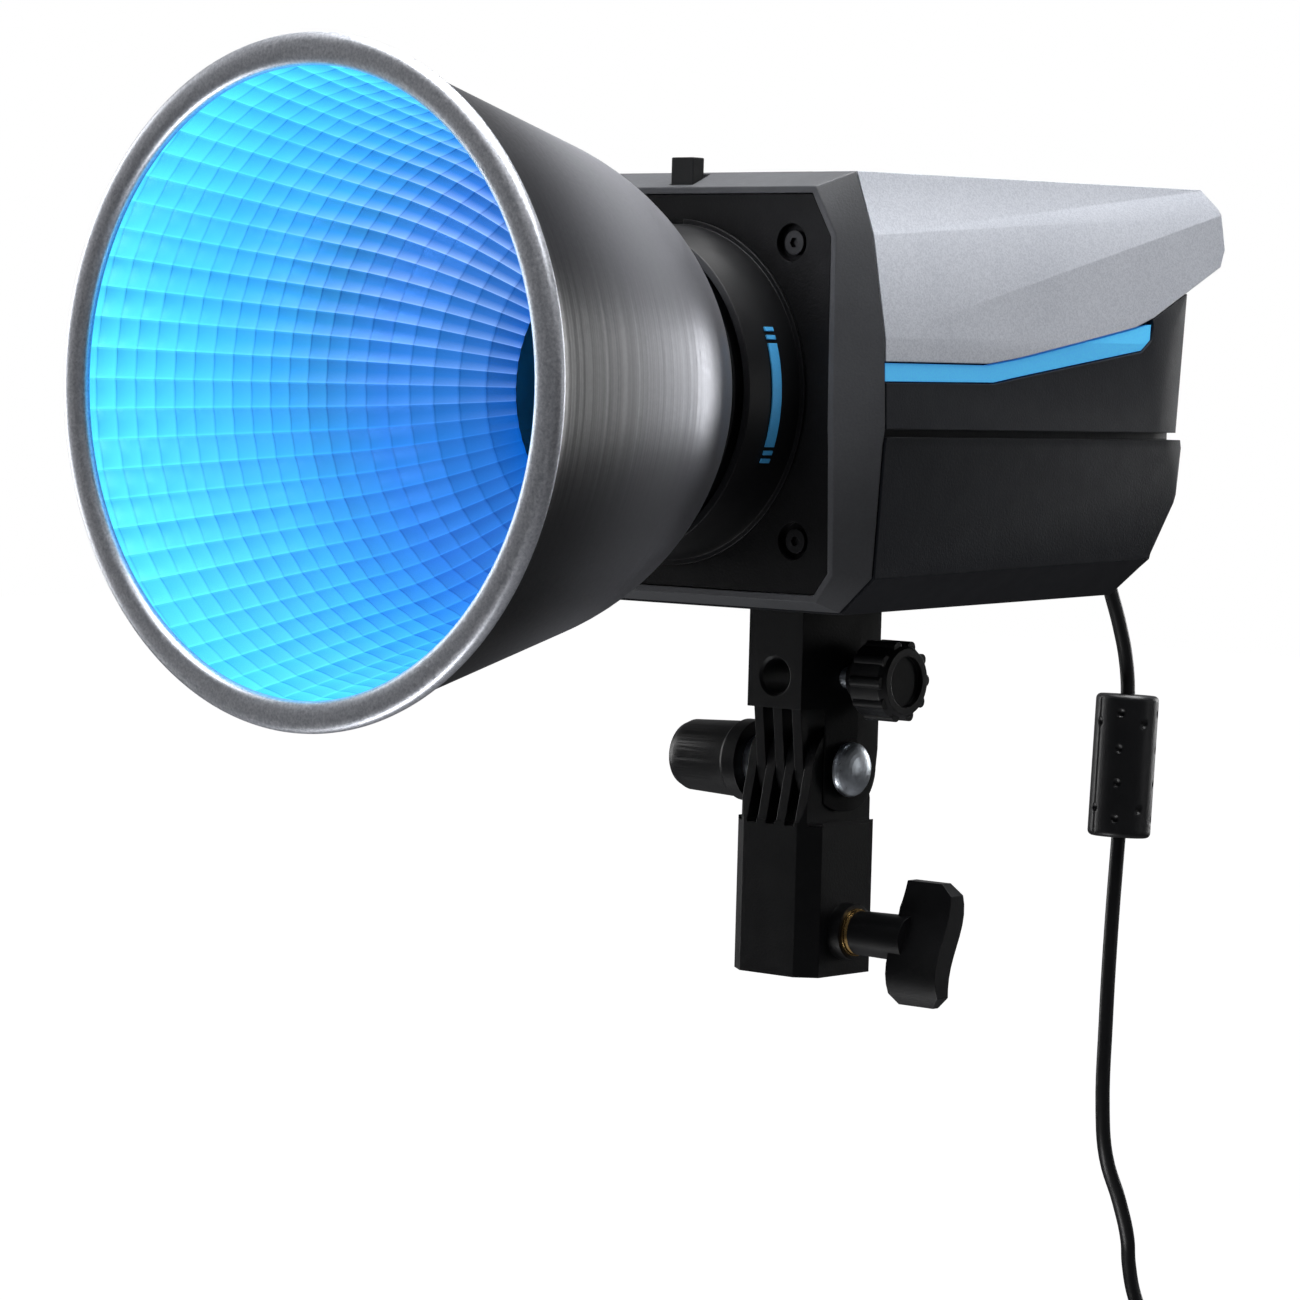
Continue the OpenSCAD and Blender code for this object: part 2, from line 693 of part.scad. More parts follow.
// Plan of the covers up to the rear, with the sides turned in.
function body_plan(d, rear) = [[-80, 0], [80, 0], [80, split_y - 20], [61.4 - d, split_y],
    [rear_x(d, rear), rear], [-rear_x(d, rear), rear], [d - 61.4, split_y], [-80, split_y - 20]];

// Rear edge of the upper cover at height z.
function rear_edge(z) = rear_low + rear_lean * (z - seam_top);

module upper_shell() {
    skin_low = [[0, 3.7], [54, 4.1], [66.5, 6], [119, 13.5], [123.8, 16.6], [125.4, 20.6],
                [125.4, 22.1], [134.8, 26.1], [170, 41], [170, 70], [0, 70]];
    color("#2b2e36") at_lamp() difference() {
        intersection() {
            union() {
                body_form(panel_t);
                difference() {
                    body_form(0);
                    side_slab(skin_low, -70, 70);
                }
            }
            plan_slab(body_plan(0, hood_d), seam_top, 62);
            side_slab([[cover_y, -20], [rear_edge(-20), -20], [rear_edge(70), 70],
                       [cover_y, 70]], -70, 70);
        }
        intersection() {
            body_form(panel_t + wall);
            plan_slab(body_plan(panel_t + wall, body_d - panel_t - wall), -60, 60);
        }
        box([-45.3, 130, seam_top - 1], [45.3, hood_d, 47.3]);
    }
}

lower_rear = [[cover_y, -60], [124, -60], [125, -50.4], [128, -39.6],
              [137.9, -24], [140.3, -11.6], [139.6, seam_bottom], [cover_y, seam_bottom]];
lower_proud = 0.5;
post_at = [[40, 24], [40, 82], [40, 108], [-40, 24], [-40, 82], [-40, 108]];

// Height of the lower shell's underside at y.
function floor_z(y) = -53.4 - lower_proud + 3.8 * (y - bezel_d) / (hood_d + 1 - bezel_d);

module lower_shell() {
    inner_rear = [[0, -60], [112, -60], [117.5, -47.5], [125.4, -36.8], [132.5, -24],
                  [134.6, -12], [134.6, 0], [0, 0]];
    ledge = 5.6;
    ledge_end = 136.4;
    vents = 9;
    color("#2b2e36") at_lamp() difference() {
        union() {
            difference() {
                intersection() {
                    body_form(-lower_proud);
                    side_slab(lower_rear, -70, 70);
                    plan_slab(body_plan(-0.8, hood_d), -70, seam_bottom);
                }
                intersection() {
                    body_form(wall);
                    side_slab(inner_rear, -70, 70);
                    plan_slab(body_plan(wall, body_d - wall), -70, 0);
                }
                box([-18, 40, -60], [18, 78, -52.8]);
            }
            intersection() {
                difference() {
                    body_form(wall - 0.2);
                    body_form(ledge);
                }
                plan_slab(body_plan(wall - 0.2, ledge_end), -14, seam_top);
                side_slab([[cover_y, -20], [ledge_end, -20], [ledge_end, 0], [cover_y, 0]],
                          -70, 70);
            }
            box([-18, 40, -52.8], [18, 78, -48.4]);
            for (p = post_at) translate([p[0], p[1], floor_z(p[1]) + 1])
                cylinder(h = -42 - floor_z(p[1]) - 1, r = 4);
        }
        box([-45.3, 126, -37.3], [45.3, body_d + 4, 0]);
        for (k = [0 : vents - 1])
            box([-32, 84 + k * 3.6, -56], [32, 85.8 + k * 3.6, -46]);
        for (s = [-1, 1]) translate([s * 8, face_ahead + 6, -54]) cylinder(h = 8, r = 2);
        for (p = post_at) if (p[1] != 82) translate([p[0], p[1], floor_z(p[1])]) {
            translate([0, 0, -1]) cylinder(h = 2.9, r = 2.9);
            cylinder(h = 9.6, r = 1.5);
        }
    }
}

// Screws up through the lower shell's floor.
module shell_screws() {
    color("#8f9296") at_lamp() for (p = post_at) if (p[1] != 82)
        translate([p[0], p[1], floor_z(p[1])]) {
            translate([0, 0, 0.3]) cylinder(h = 1.6, r = 2.8);
            translate([0, 0, 1.8]) cylinder(h = 7, r = 1.5);
        }
}

// Side panel, cut from the cover between x0 and one reach outwards.
module side_panel(x0) {
    at_lamp() intersection() {
        difference() {
            body_form(0);
            body_form(panel_t);
        }
        side_slab(concat(panel_low, panel_top), x0, x0 + cover_reach);
    }
}

module side_panel_left() { color("#b9c1cb") side_panel(top_w / 2); }
module side_panel_right() { color("#b9c1cb") side_panel(-top_w / 2 - cover_reach); }

module accent(x0) {
    top_edge = [[120.6, 20.2], [117, 19.5], [66, 10.7], [52, 8.8], [9.7, 8.6]];
    at_lamp() intersection() {
        difference() {
            body_form(0.3);
            body_form(panel_t);
        }
        side_slab(concat(accent_low, top_edge), x0, x0 + 20);
    }
}

module accent_left() { color("#57b0e6") accent(50); }
module accent_right() { color("#57b0e6") accent(-70); }

module top_cover() {
    slots = 12;
    half = top_w / 2 - 0.3;
    color("#2b2e36") at_lamp() difference() {
        intersection() {
            difference() {
                body_form(0);
                body_form(panel_t);
            }
            box([-half, cover_y, 50], [half, rear_edge(54) + 3, 60]);
        }
        for (k = [0 : slots - 1])
            box([-26, 30 + k * 7, 50], [26, 32.4 + k * 7, 60]);
    }
}

// ---- rear controls -------------------------------------------------------

inlet_z = cord_z - axis_z;
board_posts = [[39.5, 40], [-39.5, 40], [-39.5, -28.5], [17, -28.5]];
switch_at = [33, -28.9];
display_at = [20, 22];

module rear_panel() {
    color("#202227") at_lamp() difference() {
        union() {
            box([-45, rear_y0, -37], [45, rear_y1, 47]);
            for (p = board_posts) translate([p[0], 0, p[1]])
                rod_y(control_y + 1.6, rear_y0 + 0.5, 2.4);
        }
        for (x = dial_x) translate([x, 0, dial_z]) rod_y(130, 140, 3.2);
        for (x = key_x) box([x - 4.3, 130, key_z - 2.8], [x + 4.3, 140, key_z + 2.8]);
        box([display_at[0] - 17, rear_y0 + 1, display_at[1] - 12],
            [display_at[0] + 17, 140, display_at[1] + 12]);
        translate([0, 0, inlet_z]) rod_y(130, 140, 5.6);
        box([switch_at[0] - 8, 130, switch_at[1] - 6], [switch_at[0] + 8, 140,
            switch_at[1] + 6]);
        box([-35, 130, -31], [-25, 140, -26]);
        for (k = [0 : 4]) box([-36, 130, 36 + k * 2.2], [-4, 140, 37 + k * 2.2]);
    }
}

module display() {
    color("#0c0f14") at_lamp() union() {
        box([display_at[0] - 16.8, rear_y0 + 1, display_at[1] - 11.8],
            [display_at[0] + 16.8, rear_y1 + 0.3, display_at[1] + 11.8]);
        box([display_at[0] - 14, control_y + 1.6, display_at[1] - 9],
            [display_at[0] + 14, rear_y0, display_at[1] + 9]);
    }
}

module dial(x) {
    color("#1a1b1f") at_lamp() translate([x, 0, dial_z]) difference() {
        union() {
            rod_y(rear_y1 + 0.4, rear_y1 + 9, 9, 8.6);
            rod_y(rear_y1 + 9 - eps, rear_y1 + 9.8, 8.6, 7.6);
        }
        rod_y(rear_y1, rear_y1 + 6.4, 3 + run);
        for (k = [0 : 17]) rotate([0, k * 20, 0]) translate([9.3, 0, 0])
            rod_y(rear_y1 + 1.4, rear_y1 + 8.4, 0.8, $fn = 16);
    }
}
module dimmer_knob() { dial(dial_x[1]); }
module colour_knob() { dial(dial_x[0]); }

module key(x) {
    color("#4a4d55") at_lamp() union() {
        box([x - 4, rear_y0 - 0.9, key_z - 2.5], [x + 4, rear_y1 + 1.2, key_z + 2.5]);
        box([x - 5, rear_y0 - 1.6, key_z - 3.4], [x + 5, rear_y0 - 0.7, key_z + 3.4]);
    }
}
module button_left() { key(key_x[0]); }
module button_middle() { key(key_x[1]); }
module button_right() { key(key_x[2]); }

rocker_y = rear_y1 - 3;

module switch_bezel() {
    x = switch_at[0];
    z = switch_at[1];
    color("#131417") at_lamp() difference() {
        union() {
            box([x - 7.9, 124, z - 5.9], [x + 7.9, rear_y1 + eps, z + 5.9]);
            box([x - 9.4, rear_y1, z - 6.9], [x + 9.4, rear_y1 + 1, z + 6.9]);
        }
        box([x - 6.5, 126, z - 4.4], [x + 6.5, 140, z + 4.4]);
        translate([x, rocker_y, z - 5.4]) cylinder(h = 10.8, r = 1 + run);
    }
}

module power_switch() {
    x = switch_at[0];
    z = switch_at[1];
    color("#1b1c20") at_lamp() translate([x, rocker_y, z]) rotate([0, 0, -8]) union() {
        linear_extrude(height = 8.2, center = true)
            polygon([[-5.6, 2.6], [-4.4, -0.8], [0, -2.4], [4.4, -0.8], [5.6, 2.6],
                     [5.4, 5], [0, 3.6], [-5.4, 5]]);
        cylinder(h = 10.2, r = 1, center = true);
    }
}

module power_inlet() {
    color("#17181b") at_lamp() translate([0, 0, inlet_z]) difference() {
        union() {
            rod_y(122, rear_y1 + eps, 5.6);
            rod_y(rear_y1, rear_y1 + 1.4, 6.6);
        }
        rod_y(126, 140, 3.6);
    }
}

module data_socket() {
    color("#8f9296") at_lamp() difference() {
        box([-34.8, control_y + 1.6, -30.8], [-25.2, rear_y1 - 0.3, -26.2]);
        box([-33.9, 128, -30.1], [-26.1, 140, -26.9]);
    }
}

// ---- cord ----------------------------------------------------------------

// Round tube swept along points, one polyhedron.
function unit(v) = v / norm(v);
module sweep(pts, r, sides) {
    n = len(pts);
    ring = [for (i = [0 : n - 1])
        let (t = unit(pts[min(i + 1, n - 1)] - pts[max(i - 1, 0)]),
             u = unit(cross([1, 0, 0], t)), v = cross(t, u))
        for (k = [0 : sides - 1])
            pts[i] + r * (cos(k * 360 / sides) * u + sin(k * 360 / sides) * v)];
    walls = [for (i = [0 : n - 2], k = [0 : sides - 1], h = [0, 1])
        let (a = i * sides + k, b = i * sides + (k + 1) % sides)
        h == 0 ? [a, a + sides, b + sides] : [a, b + sides, b]];
    polyhedron(ring, concat([[for (k = [0 : sides - 1]) k]],
                            [[for (k = [sides - 1 : -1 : 0]) (n - 1) * sides + k]], walls));
}

// Plug in the power inlet with its tapered strain relief.
module cord_plug() {
    grip_y0 = rear_y1 + 1.4 - face_ahead;
    grip_y1 = 85;
    color("#1a1b1e") translate([0, 0, cord_z]) union() {
        rod_y(grip_y0 - 6, grip_y0 + eps, 3.5);
        rod_y(grip_y0, grip_y1, 6);
        rod_y(grip_y1 - eps, grip_y1 + 2, 6, 5);
        rod_y(grip_y1 + 2 - eps, exit_y, 4.4, 2.4);
    }
}

module cord_tube() { color("#16171a") sweep(route, cord_d / 2, 8); }

module cord_ferrite() {
    lean = atan2(ferrite_top[1] - ferrite_low[1], ferrite_top[2] - ferrite_low[2]);
    long = norm(ferrite_top - ferrite_low);
    chamfer = 1.6;
    color("#1a1b1e") translate(ferrite_low) rotate([-lean, 0, 0]) union() {
        cylinder(h = chamfer, r1 = ferrite_r - chamfer, r2 = ferrite_r);
        translate([0, 0, chamfer]) cylinder(h = long - 2 * chamfer, r = ferrite_r);
        translate([0, 0, long - chamfer])
            cylinder(h = chamfer, r1 = ferrite_r, r2 = ferrite_r - chamfer);
    }
}

module cord_coil() {
    c = 2;
    bundle = [[-coil_deep, c - coil_half], [c - coil_deep, -coil_half],
              [coil_deep - c, -coil_half], [coil_deep, c - coil_half],
              [coil_deep, coil_half - c], [coil_deep - c, coil_half],
              [c - coil_deep, coil_half], [-coil_deep, coil_half - c]];
    color("#16171a") translate(coil_at) rotate([0, 90, 0])
        rotate_extrude($fn = 64) polygon([for (p = bundle) [coil_r + p[0], p[1]]]);
}

// Strap round the coil at its top.
module coil_tie() {
    color("#0f1012") translate(coil_at + [0, 0, coil_r]) difference() {
        box([-coil_half - 1, -5, -coil_deep - 1], [coil_half + 1, 5, coil_deep + 1]);
        box([-coil_half, -6, -coil_deep], [coil_half, 6, coil_deep]);
    }
}

module cord_lead() { color("#16171a") sweep(lead_out, cord_d / 2, 8); }

module cord_connector() {
    end = lead_out[len(lead_out) - 1];
    color("#1a1b1e") translate(end) union() {
        translate([0, 0, -20]) cylinder(h = 20, r1 = 4.6, r2 = 2.4);
        translate([0, 0, -46]) cylinder(h = 26 + eps, r = 6);
        translate([0, 0, -56]) cylinder(h = 10 + eps, r = 4);
    }
}

// ---- assembly ------------------------------------------------------------

stand_receiver();
receiver_bush();
clamp_knob();
clamp_screw();
clamp_pad();
tilt_bracket();
tilt_bolt();
tilt_lever();
lever_insert();
lever_screw();
umbrella_knob();
umbrella_screw();
umbrella_pad();
front_bezel();
front_plate();
front_screws();
mount_collar();
collar_marks();
reflector_bowl();
reflector_ring();
release_tab();
lock_pin();
release_spring();
led_chip();
led_holder();
led_glass();
heat_sink();
heat_pipes();
fan_frame();
fan_rotor();
driver_board();
control_board();
upper_shell();
lower_shell();
side_panel_left();
side_panel_right();
accent_left();
accent_right();
top_cover();
rear_panel();
display();
dimmer_knob();
colour_knob();
button_left();
button_middle();
button_right();
power_switch();
switch_bezel();
power_inlet();
data_socket();
bracket_screws();
shell_screws();
cord_plug();
cord_tube();
cord_ferrite();
cord_coil();
coil_tie();
cord_lead();
cord_connector();
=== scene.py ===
import json
import math

import bmesh
import bpy
from mathutils import Matrix, Vector

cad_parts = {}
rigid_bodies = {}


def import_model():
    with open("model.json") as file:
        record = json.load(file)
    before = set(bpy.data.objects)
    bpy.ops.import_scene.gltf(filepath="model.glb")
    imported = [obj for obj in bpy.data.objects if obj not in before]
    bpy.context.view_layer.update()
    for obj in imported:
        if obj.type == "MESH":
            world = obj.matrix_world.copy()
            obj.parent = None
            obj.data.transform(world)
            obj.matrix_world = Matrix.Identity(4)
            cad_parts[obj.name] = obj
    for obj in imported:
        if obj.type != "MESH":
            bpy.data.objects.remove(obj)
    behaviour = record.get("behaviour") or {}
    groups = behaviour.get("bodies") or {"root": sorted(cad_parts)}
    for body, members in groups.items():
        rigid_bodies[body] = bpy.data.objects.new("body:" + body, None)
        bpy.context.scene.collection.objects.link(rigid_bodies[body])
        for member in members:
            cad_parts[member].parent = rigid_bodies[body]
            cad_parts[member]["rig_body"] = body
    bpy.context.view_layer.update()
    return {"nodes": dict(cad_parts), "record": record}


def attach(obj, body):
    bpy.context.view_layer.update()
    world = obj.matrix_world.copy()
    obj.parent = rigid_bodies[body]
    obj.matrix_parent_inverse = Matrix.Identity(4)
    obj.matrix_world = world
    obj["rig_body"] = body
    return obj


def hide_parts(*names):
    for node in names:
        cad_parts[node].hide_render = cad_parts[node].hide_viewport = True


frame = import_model()

MM = 0.001
LAMP = Vector((0, -0.059, 0.1512))      # optical axis where it meets the front face

# ---- camera --------------------------------------------------------------

AZ, EL, ROLL = math.radians(40.78), math.radians(3.51), math.radians(1.52)
DISTANCE, ASIDE, DOWN = 1.141, -0.0036, -0.0651
back = Vector((math.sin(AZ) * math.cos(EL), -math.cos(AZ) * math.cos(EL), math.sin(EL)))
right = Vector((math.cos(AZ), math.sin(AZ), 0))
up = back.cross(right)
eye = LAMP + back * DISTANCE + right * ASIDE + up * DOWN
cam_x = right * math.cos(ROLL) + up * math.sin(ROLL)
cam_y = up * math.cos(ROLL) - right * math.sin(ROLL)
cam_data = bpy.data.cameras.new("camera")
cam_data.sensor_width = 36
cam_data.lens = 4530 * 36 / 1300
cam_data.clip_end = 100
camera = bpy.data.objects.new("camera", cam_data)
bpy.context.scene.collection.objects.link(camera)
turn = Matrix((cam_x, cam_y, back)).transposed().to_4x4()
camera.matrix_world = Matrix.Translation(eye) @ turn
bpy.context.scene.camera = camera

# ---- mesh helpers --------------------------------------------------------


def add(name, mesh, body, replaces=()):
    obj = bpy.data.objects.new(name, mesh)
    bpy.context.scene.collection.objects.link(obj)
    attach(obj, body)
    if replaces:
        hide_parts(*replaces)
    return obj


def mesh_from(name, verts, faces, smooth=True):
    mesh = bpy.data.meshes.new(name)
    mesh.from_pydata([tuple(v) for v in verts], [], faces)
    mesh.update()
    for p in mesh.polygons:
        p.use_smooth = smooth
    return mesh


def sharpen(mesh, degrees):
    """Marks the edges whose faces meet at more than that angle as sharp."""
    bm = bmesh.new()
    bm.from_mesh(mesh)
    for e in bm.edges:
        if len(e.link_faces) == 2:
            e.smooth = e.calc_face_angle(0) < math.radians(degrees)
    bm.to_mesh(mesh)
    bm.free()


def grid_faces(rows, cols, first=0, wrap=True):
    faces = []
    for i in range(rows - 1):
        for j in range(cols if wrap else cols - 1):
            a = first + i * cols + j
            b = first + i * cols + (j + 1) % cols
            faces.append((a, b, b + cols, a + cols))
    return faces


def turned(name, profile, axis, origin, cols=96):
    """Closed solid of revolution. profile is (radius, along) in metres."""
    axis = Vector(axis).normalized()
    side = axis.orthogonal().normalized()
    other = axis.cross(side)
    verts = []
    for r, t in profile:
        for j in range(cols):
            a = 2 * math.pi * j / cols
            verts.append(Vector(origin) + axis * t + (side * math.cos(a) + other * math.sin(a)) * r)
    faces = grid_faces(len(profile), cols)
    for row, flip in ((0, True), (len(profile) - 1, False)):
        if profile[row][0] > 1e-7:
            ring = [row * cols + j for j in range(cols)]
            faces.append(ring[::-1] if flip else ring)
    mesh = mesh_from(name, verts, faces)
    bm = bmesh.new()
    bm.from_mesh(mesh)
    bmesh.ops.remove_doubles(bm, verts=bm.verts, dist=1e-6)
    bmesh.ops.recalc_face_normals(bm, faces=bm.faces)
    bm.to_mesh(mesh)
    bm.free()
    sharpen(mesh, 32)
    return mesh


# ---- reflector sizes -------------------------------------------------------

FACETS = 64
RING_STEP = 5.35
NECK_END, FLARE_Y, RIM_FRONT = -20.4, -63.0, -133.5
FACET_START = RIM_FRONT + 3.4
RINGS = round((NECK_END - FACET_START) / RING_STEP)
FACET_LONG = (NECK_END - FACET_START) / RINGS * MM

# ---- materials -----------------------------------------------------------


class Paint:
    """A Principled material that is built up node by node."""

    def __init__(self, name, rough, metallic=0.0, specular=0.5, coat=0.0):
        self.mat = bpy.data.materials.new(name)
        self.mat.use_nodes = True
        self.tree = self.mat.node_tree
        self.bsdf = self.tree.nodes["Principled BSDF"]
        self.bsdf.inputs["Roughness"].default_value = rough
        self.bsdf.inputs["Metallic"].default_value = metallic
        self.bsdf.inputs["Specular IOR Level"].default_value = specular
        if coat:
            self.bsdf.inputs["Coat Weight"].default_value = coat
            self.bsdf.inputs["Coat Roughness"].default_value = 0.15
        self.coords = self.node("ShaderNodeTexCoord").outputs["Object"]

    def node(self, kind, **values):
        n = self.tree.nodes.new(kind)
        for key, value in values.items():
            if hasattr(n, key):
                setattr(n, key, value)
            else:
                n.inputs[key.replace("_", " ")].default_value = value
        return n

    def link(self, a, b):
        self.tree.links.new(a, b)

    def noise(self, size, detail=4.0, stretch=None):
        n = self.node("ShaderNodeTexNoise", Scale=1.0 / size, Detail=detail, Roughness=0.6)
        source = self.coords
        if stretch:
            m = self.node("ShaderNodeMapping")
            m.inputs["Scale"].default_value = stretch
            self.link(source, m.inputs["Vector"])
            source = m.outputs["Vector"]
        self.link(source, n.inputs["Vector"])
        return n.outputs["Fac"]

    def ramp(self, source, stops):
        r = self.node("ShaderNodeValToRGB")
        e = r.color_ramp.elements
        while len(e) < len(stops):
            e.new(0.5)
        for item, (place, value) in zip(e, stops):
            item.position = place
            item.color = tuple(value) + (1,) if len(value) == 3 else value
        self.link(source, r.inputs["Fac"])
        return r.outputs["Color"]

    def mapped(self, source, a, b, c, d):
        m = self.node("ShaderNodeMapRange")
        for key, value in zip(("From Min", "From Max", "To Min", "To Max"), (a, b, c, d)):
            m.inputs[key].default_value = value
        self.link(source, m.inputs["Value"])
        return m.outputs["Result"]

    def fraction(self, source, scale, offset=0.0):
        """Place inside a repeating cell, from 0 to 1."""
        m = self.node("ShaderNodeMath", operation="MULTIPLY_ADD")
        self.link(source, m.inputs[0])
        m.inputs[1].default_value, m.inputs[2].default_value = scale, offset
        f = self.node("ShaderNodeMath", operation="FRACT")
        self.link(m.outputs[0], f.inputs[0])
        return f.outputs[0]

    def wave(self, source, scale, offset=0.0):
        """Distance from the middle of a repeating cell: 0 in the middle, 1 on its border."""
        c = self.node("ShaderNodeMath", operation="MULTIPLY_ADD")
        self.link(self.fraction(source, scale, offset), c.inputs[0])
        c.inputs[1].default_value, c.inputs[2].default_value = 2, -1
        a = self.node("ShaderNodeMath", operation="ABSOLUTE")
        self.link(c.outputs[0], a.inputs[0])
        return a.outputs[0]

    def total(self, values):
        """Sum of several sockets."""
        out = values[0]
        for value in values[1:]:
            m = self.node("ShaderNodeMath", operation="ADD")
            self.link(out, m.inputs[0])
            self.link(value, m.inputs[1])
            out = m.outputs[0]
        return out

    def mix(self, fac, a, b):
        m = self.node("ShaderNodeMix", data_type="RGBA")
        self.link(fac, m.inputs["Factor"])
        for value, key in ((a, 6), (b, 7)):
            if isinstance(value, (tuple, list)):
                m.inputs[key].default_value = tuple(value) + (1,)
            else:
                self.link(value, m.inputs[key])
        return m.outputs[2]

    def colour(self, source):
        self.link(source, self.bsdf.inputs["Base Color"])

    def bump(self, height, strength, distance, edge=0.0):
        b = self.node("ShaderNodeBump")
        b.inputs["Strength"].default_value = strength
        b.inputs["Distance"].default_value = distance
        self.link(height, b.inputs["Height"])
        if edge:
            r = self.node("ShaderNodeBevel", samples=4)
            r.inputs["Radius"].default_value = edge
            self.link(r.outputs["Normal"], b.inputs["Normal"])
        self.link(b.outputs["Normal"], self.bsdf.inputs["Normal"])


def moulded(name, colour, rough=0.45, grain=0.0005, bump=0.25, vary=0.12, edge=0.0003,
            metallic=0.0, specular=0.5, scuff=0.5):
    """Moulded or coated surface: fine grain, slight tone changes, uneven gloss, worn edges."""
    p = Paint(name, rough, metallic, specular)
    light = [min(1.0, c * (1 + vary) + 0.003) for c in colour]
    dark = [c * (1 - vary) for c in colour]
    tone = p.ramp(p.noise(0.018, 3), [(0.3, dark), (0.7, light)])
    fine = p.noise(grain, 3)
    speck = p.ramp(fine, [(0.35, [c * 0.9 for c in colour]),
                          (0.65, [min(1, c * 1.12 + 0.002) for c in colour])])
    half = p.node("ShaderNodeValue")
    half.outputs[0].default_value = 0.45
    p.colour(p.mix(half.outputs[0], tone, speck))
    gloss = p.noise(0.006, 5)
    p.link(p.mapped(gloss, 0.3, 0.7, rough - 0.06 * scuff, rough + 0.08 * scuff), p.bsdf.inputs["Roughness"])
    p.bump(fine, bump, grain * 0.35, edge)
    return p


def metal(name, colour, rough=0.25, brush=None, bump=0.12, edge=0.0002):
    """Bare or plated metal with fine tool marks."""
    p = Paint(name, rough, 1.0)
    marks = p.noise(0.0012, 4, brush or (1, 1, 1))
    p.colour(p.ramp(marks, [(0.3, [c * 0.82 for c in colour]), (0.7, colour)]))
    p.link(p.mapped(marks, 0.25, 0.75, rough * 0.75, rough * 1.35), p.bsdf.inputs["Roughness"])
    p.bump(marks, bump, 0.00008, edge)
    return p


M = {
    "bracket_black": moulded("bracket_black", (0.0028, 0.0030, 0.0040), 0.42, 0.0006, 0.3, specular=0.4),
    "knob_black": moulded("knob_black", (0.0038, 0.004, 0.005), 0.38, 0.0005, 0.22),
    "brass": metal("brass", (0.80, 0.52, 0.20), 0.22),
    "zinc_steel": metal("zinc_steel", (0.80, 0.86, 0.93), 0.34),
    "bezel_grey": moulded("bezel_grey", (0.085, 0.088, 0.096), 0.46, 0.0006, 0.3, edge=0.0005),
    "plate_black": moulded("plate_black", (0.0024, 0.0025, 0.0032), 0.5, 0.0007, 0.35, specular=0.2),
    "collar_black": moulded("collar_black", (0.0032, 0.0034, 0.0044), 0.4, 0.0005, 0.2, specular=0.35),
    "print_blue": moulded("print_blue", (0.07, 0.40, 0.80), 0.4, 0.0004, 0.1, 0.05),
    "ring_black": moulded("ring_black", (0.004, 0.0042, 0.005), 0.4),
    "tab_black": moulded("tab_black", (0.005, 0.0054, 0.0062), 0.45),
    "holder_white": moulded("holder_white", (0.72, 0.72, 0.70), 0.5),
    "sink_aluminium": metal("sink_aluminium", (0.72, 0.73, 0.75), 0.35, (1, 0.05, 1)),
    "pipe_copper": metal("pipe_copper", (0.80, 0.42, 0.25), 0.28),
    "fan_black": moulded("fan_black", (0.012, 0.012, 0.014), 0.42),
    "circuit_green": moulded("circuit_green", (0.02, 0.10, 0.045), 0.35, 0.0008, 0.3),
    "body_black": moulded("body_black", (0.0070, 0.0084, 0.0125), 0.50, 0.0006, 0.28, edge=0.0005,
                           specular=0.28),
    "control_black": moulded("control_black", (0.008, 0.0083, 0.0098), 0.48, 0.0005, 0.3),
    "button_grey": moulded("button_grey", (0.07, 0.075, 0.085), 0.6, 0.0005, 0.2),
    "socket_steel": metal("socket_steel", (0.68, 0.69, 0.70), 0.25),
    "cord_black": moulded("cord_black", (0.006, 0.0063, 0.0075), 0.4, 0.0006, 0.15),
    "ferrite_black": moulded("ferrite_black", (0.006, 0.0063, 0.0078), 0.4, 0.0005, 0.2),
    "accent_blue": moulded("accent_blue", (0.13, 0.70, 1.0), 0.36, 0.0005, 0.1, 0.04),
}


def silver():
    """Metallic silver paint: bright flakes in a grey coat."""
    p = Paint("panel_silver", 0.4, 0.3, 0.5)
    flakes = p.node("ShaderNodeTexVoronoi", Scale=2600.0)
    p.link(p.coords, flakes.inputs["Vector"])
    sparkle = p.ramp(flakes.outputs["Color"], [(0.2, (0.52, 0.55, 0.62)), (0.75, (0.76, 0.79, 0.86))])
    cloud = p.ramp(p.noise(0.03, 3), [(0.3, (0.62, 0.65, 0.72)), (0.7, (0.70, 0.73, 0.80))])
    half = p.node("ShaderNodeValue")
    half.outputs[0].default_value = 0.5
    p.colour(p.mix(half.outputs[0], cloud, sparkle))
    p.link(p.mapped(p.noise(0.0009, 3), 0.3, 0.7, 0.34, 0.5), p.bsdf.inputs["Roughness"])
    p.bump(p.noise(0.0006, 3), 0.25, 0.00015, 0.0004)
    return p


M["panel_silver"] = silver()
# painted glow: the blue accent stripe glows faintly though it is no lamp
M["accent_blue"].bsdf.inputs["Emission Color"].default_value = (0.0, 0.22, 1.0, 1)
M["accent_blue"].bsdf.inputs["Emission Strength"].default_value = 0.25


def phosphor():
    p = Paint("phosphor", 0.5)
    dots = p.noise(0.0008, 3)
    p.colour(p.ramp(dots, [(0.3, (0.30, 0.34, 0.10)), (0.7, (0.62, 0.60, 0.18))]))
    p.bsdf.inputs["Emission Color"].default_value = (0.01, 0.36, 1.0, 1)
    p.bsdf.inputs["Emission Strength"].default_value = 4
    p.bump(dots, 0.2, 0.0001)
    return p


def clear_glass():
    p = Paint("clear_glass", 0.03)
    p.bsdf.inputs["Transmission Weight"].default_value = 1.0
    p.bsdf.inputs["IOR"].default_value = 1.45
    p.bsdf.inputs["Base Color"].default_value = (0.72, 0.86, 1.0, 1)
    p.bump(p.noise(0.004, 2), 0.05, 0.0001)
    return p


